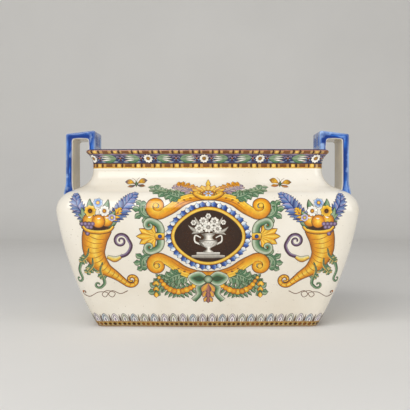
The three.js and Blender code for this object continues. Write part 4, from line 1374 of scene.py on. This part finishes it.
def fruit_heap(inks):
    """What spills from the horn's mouth, centred on the mouth."""
    m = Motif(inks, 32)
    m.fill(loop(18, 6.2, (0, 0.5)), "umber umber bark", 1.0, 0.4)
    foliage = (
        ((-8, 4), (-22, 8), 0.1), ((-7, 8), (-19, 24), 0.12), ((8, 4), (22, 6), -0.1),
        ((7, 8), (21, 20), -0.1), ((-3, 14), (-10, 35), 0.1), ((3, 14), (12, 34), -0.1),
        ((-10, 6), (-23, 16), -0.08),
    )
    m.leaves(foliage, 7.4, "fir leaf sage leaf", 0.5, 1.6, 0.4, "mist")
    for x, y, radius in ((-10.5, 9, 7.6), (10.5, 8.4, 7.2), (0.5, 7.5, 7.8)):
        m.bead((x, y), radius, "yellow amber orange rust", 2.2 + 0.5 * (abs(x) < 1), 0.4)
        m.leaf((x - 1.6, y + 3.5), (x + 3.0, y + 4.3), 1.7, "chalk", -0.12, layer=3.0)
    for row, grapes in enumerate((4, 3, 2, 1)):
        for k in range(grapes):
            x = -19.5 + 4.4 * k + 2.2 * row
            m.bead((x, 4.5 - 4.0 * row), 2.5, "lilac plum", 3.2 + 0.1 * row, 0.3)
    for at, radius, count, petal, heart, turn, layer, line in (
        ((-9, 20), 7.2, 8, "rust / amber / yellow", "bark umber", 0.2, 2.8, 0.35),
        ((8, 20), 6.6, 9, "stone / chalk / chalk", "amber rust", 0.1, 2.8, 0.35),
        ((0, 30), 6.2, 7, "cobalt / sky / ice", "yellow orange", 0.5, 2.8, 0.35),
        ((17, 12), 4.6, 6, "plum / lilac / ice", "yellow", 0.5, 3.2, 0.3),
    ):
        m.flower(at, radius, count, petal, heart, turn, layer, line)
    lip = spline((-18.4, 1.2), (-13, -3.8), (0, -6.0), (13, -3.8), (18.4, 1.2))
    m.ribbon(lip, (2.4, 3.8, 4.2, 3.8, 2.4), "rust amber yellow", 4.0, 0.45)
    return m


def butterfly(inks, wing, edge):
    """A small butterfly seen from above, head up."""
    m = Motif(inks, 41)
    fore, hind = f"{wing} / {'amber*0.9 ' * 3} / {edge}", f"{edge} / {wing} / {'rust ' * 3}"
    for side in (-1, 1):
        m.leaf((side, 0.6), (side * 13.4, 5.6), 7.6, fore, side * 0.1, 0.66, 1.0, 0.35)
        m.leaf((side, -0.6), (side * 10.6, -5.2), 6.6, hind, side * -0.08, 0.62, 1.4, 0.35)
        m.bead((side * 9.4, 4.2), 1.3, "yellow rust", 1.9)
        m.ribbon(spline((0.4, 4.4), (1.6, 8), (4.6, 10.4), side=side), (0.5, 0.4), "bark", 1.0)
    m.leaf((0, -6.0), (0, 5.2), 2.6, "fir leaf bark", 0, 0.6, 2.2, 0.3)
    return m


def end_spray(inks):
    """A flowering spray for the middle of an end, centred on its picture."""
    m = Motif(inks, 51)
    stem = spline((-1, -44), (2, -24), (-1, -4), (0, 18))
    m.ribbon(stem, (2.4, 1.8, 1.6), "fir leaf fir", 0.8, 0.25)
    for side in (-1, 1):
        arm = spline((1, -20), (12, -8), (18, 6), side=side)
        m.ribbon(arm, (1.8, 1.2), "fir leaf", 0.8, 0.25)
        m.flower((side * 19, 9), 6.0, 8, "cobalt / sky / ice", "yellow orange", 0.2, 1.6)
        foliage = (
            ((0, -30), (side * 22, -26), side * -0.14), ((0, -12), (side * 17, -11), side * 0.1),
            ((0, 0), (side * 14, 17), side * -0.1),
        )
        m.leaves(foliage, 8.0, "fir leaf sage leaf", 0.5, 1.2, 0.4, "mist")
        tail = curl(spline((0, -44), (8, -50), (16, -47), side=side), 4.4, 1.2, side > 0)
        m.ribbon(tail, (2.4, 1.8, 0.9), "plum lilac", 1.0, 0.3)
        rib = spline((3, 20), (12, 31), (15, 43), side=side)
        m.frond(rib, 8, 7, ("cobalt sky lilac",), layer=0.6)
    m.flower((0, 22), 11.5, 10, "rust / amber / yellow", "bark umber", 0.15, 2.0, 0.4)
    return m


# The pieces and the studio, one operator each


def form_of(context):
    """The pot's form, from the sizes in the sidebar."""
    return Form(context.scene.planter_sizes)


def inks_of(context):
    """The colours in the sidebar as arrays, by name."""
    colours = context.scene.planter_colours
    return {name: np.array(getattr(colours, name)) for name in colours.__annotations__}


class PLANTER_OT_body(Operator):
    """Make the pot's body: foot, walls and shoulder as one glazed skin"""

    bl_idname = "planter.body"
    bl_label = "Body"

    def execute(self, context):
        form = form_of(context)
        material = cream_glaze(context.scene.planter_colours)
        piece = make_object("pot_body", *skin(form.rings(body_rows(form))), material)
        walls = ("front_wall", "back_wall", "left_end_wall", "right_end_wall")
        settle(piece, "cream_glaze", "foot_slab", *walls, "shoulder_ring")
        return {"FINISHED"}


class PLANTER_OT_collar(Operator):
    """Make the flared rim collar"""

    bl_idname = "planter.collar"
    bl_label = "Rim collar"

    def execute(self, context):
        form = form_of(context)
        grid = form.rings(collar_rows(form))
        faces, places = grid_faces(*grid.shape[:2], wrap_rows=True, wrap_columns=True)
        material = bpy.data.materials["cream_glaze"]
        piece = make_object("rim_collar_glazed", grid, faces, places, material)
        settle(piece, "border_glaze", "rim_collar")
        return {"FINISHED"}


class PLANTER_OT_handles(Operator):
    """Make the two fluted strap handles"""

    bl_idname = "planter.handles"
    bl_label = "Handles"

    def execute(self, context):
        grid, layers, brush = handle_grid(form_of(context))
        material = cobalt_glaze(context.scene.planter_colours)
        for name, turn in (("right_handle", 1), ("left_handle", -1)):
            piece = make_object(name + "_glazed", *skin(grid * (turn, turn, 1)), material)
            for layer, values in layers.items():
                store(piece.data, layer, "FLOAT", "value", values)
            store(piece.data, "brush", "FLOAT_VECTOR", "vector", brush)
            settle(piece, "blue_glaze", name)
        return {"FINISHED"}


class PLANTER_OT_borders(Operator):
    """Paint the borders round the rim and the foot"""

    bl_idname = "planter.borders"
    bl_label = "Painted borders"

    def execute(self, context):
        form, inks = form_of(context), inks_of(context)
        rim, foot = form.run_at(205 * MM), form.run_at(12 * MM)
        rim_motif = rim_border(inks, form, form.girth(rim) / MM)
        lay_painting("rim_painting", rim_motif, form, FRONT, hold=rim)
        foot_motif = foot_border(inks, form.girth(foot) / MM)
        lay_painting("foot_painting", foot_motif, form, FRONT, hold=foot)
        return {"FINISHED"}


class PLANTER_OT_pictures(Operator):
    """Paint the framed medallions, horns of plenty, butterflies and end sprays"""

    bl_idname = "planter.pictures"
    bl_label = "Painted pictures"

    def execute(self, context):
        form, inks = form_of(context), inks_of(context)
        middle, frame_height, spray_height = 0.7, 124, 96
        horn_at, horn_height, butterfly_at, butterfly_height = 130.0, 111, 89.0, 204
        dark = butterfly(inks, "leaf bark plum", "navy navy navy")
        ochre = butterfly(inks, "amber rust rose", "bark bark bark")
        sheet, horn = Motif(inks), cornucopia(inks)
        sheet.add(frame_ornament(inks), (middle, frame_height))
        sheet.add(horn, (middle - horn_at, horn_height))
        sheet.add(horn, (middle + horn_at, horn_height), mirror=(-1, 1))
        sheet.add(dark, (middle - butterfly_at, butterfly_height), turn=0.1)
        sheet.add(ochre, (middle + butterfly_at, butterfly_height), turn=-0.15)
        spray = Motif(inks)
        spray.add(end_spray(inks), (0, spray_height))
        for name, motif, side in (
            ("front_painting", sheet, FRONT),
            ("back_painting", sheet, BACK),
            ("right_end_painting", spray, RIGHT_END),
            ("left_end_painting", spray, LEFT_END),
        ):
            lay_painting(name, motif, form, side)
        return {"FINISHED"}


class PLANTER_OT_studio(Operator):
    """Make the pale sweep, the soft lamps and the camera"""

    bl_idname = "planter.studio"
    bl_label = "Studio"

    def execute(self, context):
        self.sweep()
        self.lamps(context.scene)
        self.camera(context.scene)
        return {"FINISHED"}

    def sweep(self):
        """A floor that curves up into a backdrop: a profile carried along X."""
        front, back, top, side, bend_radius = -2.2, 1.6, 2.6, 3.0, 0.5
        curve = arc((back, bend_radius), bend_radius, -math.pi / 2, 0, 0.03)
        profile = np.vstack([[[front, 0.0]], curve, [[back + bend_radius, top]]])
        x, y, z = np.linspace(-side, side, 9), profile[:, :1], profile[:, 1:]
        grid = np.stack(np.broadcast_arrays(x, y, z), axis=-1)
        nodes = Nodes("studio_paper")
        tone = nodes.range(nodes.noise(3.0, detail=3.0), 0.3, 0.7)
        paper = nodes.mix(tone, tint(0xE4E2DE), tint(0xE8E6E2))
        nodes.feed(nodes.shader.inputs["Base Color"], paper)
        nodes.feed(nodes.shader.inputs["Roughness"], 0.85)
        faces, places = grid_faces(*grid.shape[:2])
        floor = make_object("studio_sweep", grid, faces, places, nodes.material)

    def lamps(self, scene):
        """White air all round, and three softboxes: place, aim and size in metres, and watts."""
        world = bpy.data.worlds.new("studio_air")
        world.use_nodes = True
        air = world.node_tree.nodes["Background"].inputs
        air["Color"].default_value = (1.0, 1.0, 1.0, 1.0)
        air["Strength"].default_value = 0.33
        scene.world = world
        for name, place, aim, size, power in (
            ("key_softbox", (-1.0, -1.75, 1.45), (0, 0, 0.12), (2.2, 1.6), 40.0),
            ("fill_softbox", (1.6, -1.2, 0.75), (0, 0, 0.12), (1.4, 1.4), 13.5),
            ("top_softbox", (0.1, 0.3, 1.7), (0, 0, 0.1), (1.8, 1.4), 1.0),
        ):
            data = bpy.data.lights.new(name, "AREA")
            data.shape = "RECTANGLE"
            data.size, data.size_y = size
            data.energy = power
            lamp = bpy.data.objects.new(name, data)
            scene.collection.objects.link(lamp)
            lamp.location = place
            lamp.rotation_euler = look_along(np.subtract(aim, place))

    def camera(self, scene):
        """The photograph's viewpoint: level with the widest line, about 0.9 m in front."""
        focal_pixels, distance, height = 669.5, 0.9, 0.164
        right_of_centre, horizon_above = 2.4, 8.0
        sensor = 36.0
        data = bpy.data.cameras.new("photo_camera")
        data.sensor_width = sensor
        data.lens = sensor * focal_pixels / PHOTO_SIDE
        camera = bpy.data.objects.new("photo_camera", data)
        scene.collection.objects.link(camera)
        camera.location = (-right_of_centre * distance / focal_pixels, -distance, height)
        camera.rotation_euler = (math.pi / 2 - horizon_above / focal_pixels, 0.0, 0.0)
        scene.camera = camera
        scene.view_settings.view_transform = "Standard"


def look_along(direction):
    """The turn that points a lamp along a direction."""
    x, y, z = direction
    return (math.atan2(math.hypot(x, y), -z), 0.0, math.atan2(y, x) - math.pi / 2)


class PLANTER_PT_panel(Panel):
    """Lists the planter's pieces in the sidebar"""

    bl_label = "Planter"
    bl_idname = "PLANTER_PT_panel"
    bl_space_type = "VIEW_3D"
    bl_region_type = "UI"
    bl_category = "Planter"

    def draw(self, context):
        for operator in OPERATORS:
            self.layout.operator(operator.bl_idname)
        for group in (context.scene.planter_sizes, context.scene.planter_colours):
            column = self.layout.column()
            for name in group.__annotations__:
                column.prop(group, name)


OPERATORS = (
    PLANTER_OT_body,
    PLANTER_OT_collar,
    PLANTER_OT_handles,
    PLANTER_OT_borders,
    PLANTER_OT_pictures,
    PLANTER_OT_studio,
)
CLASSES = (PlanterSizes, PlanterColours, *OPERATORS, PLANTER_PT_panel)


def register():
    for cls in CLASSES:
        bpy.utils.register_class(cls)
    bpy.types.Scene.planter_sizes = PointerProperty(type=PlanterSizes)
    bpy.types.Scene.planter_colours = PointerProperty(type=PlanterColours)


def unregister():
    del bpy.types.Scene.planter_colours
    del bpy.types.Scene.planter_sizes
    for cls in reversed(CLASSES):
        bpy.utils.unregister_class(cls)


def main():
    """Registers the add-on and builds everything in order."""
    register()
    bpy.ops.planter.body()
    bpy.ops.planter.collar()
    bpy.ops.planter.handles()
    bpy.ops.planter.borders()
    bpy.ops.planter.pictures()
    bpy.ops.planter.studio()


if __name__ == "__main__":
    main()
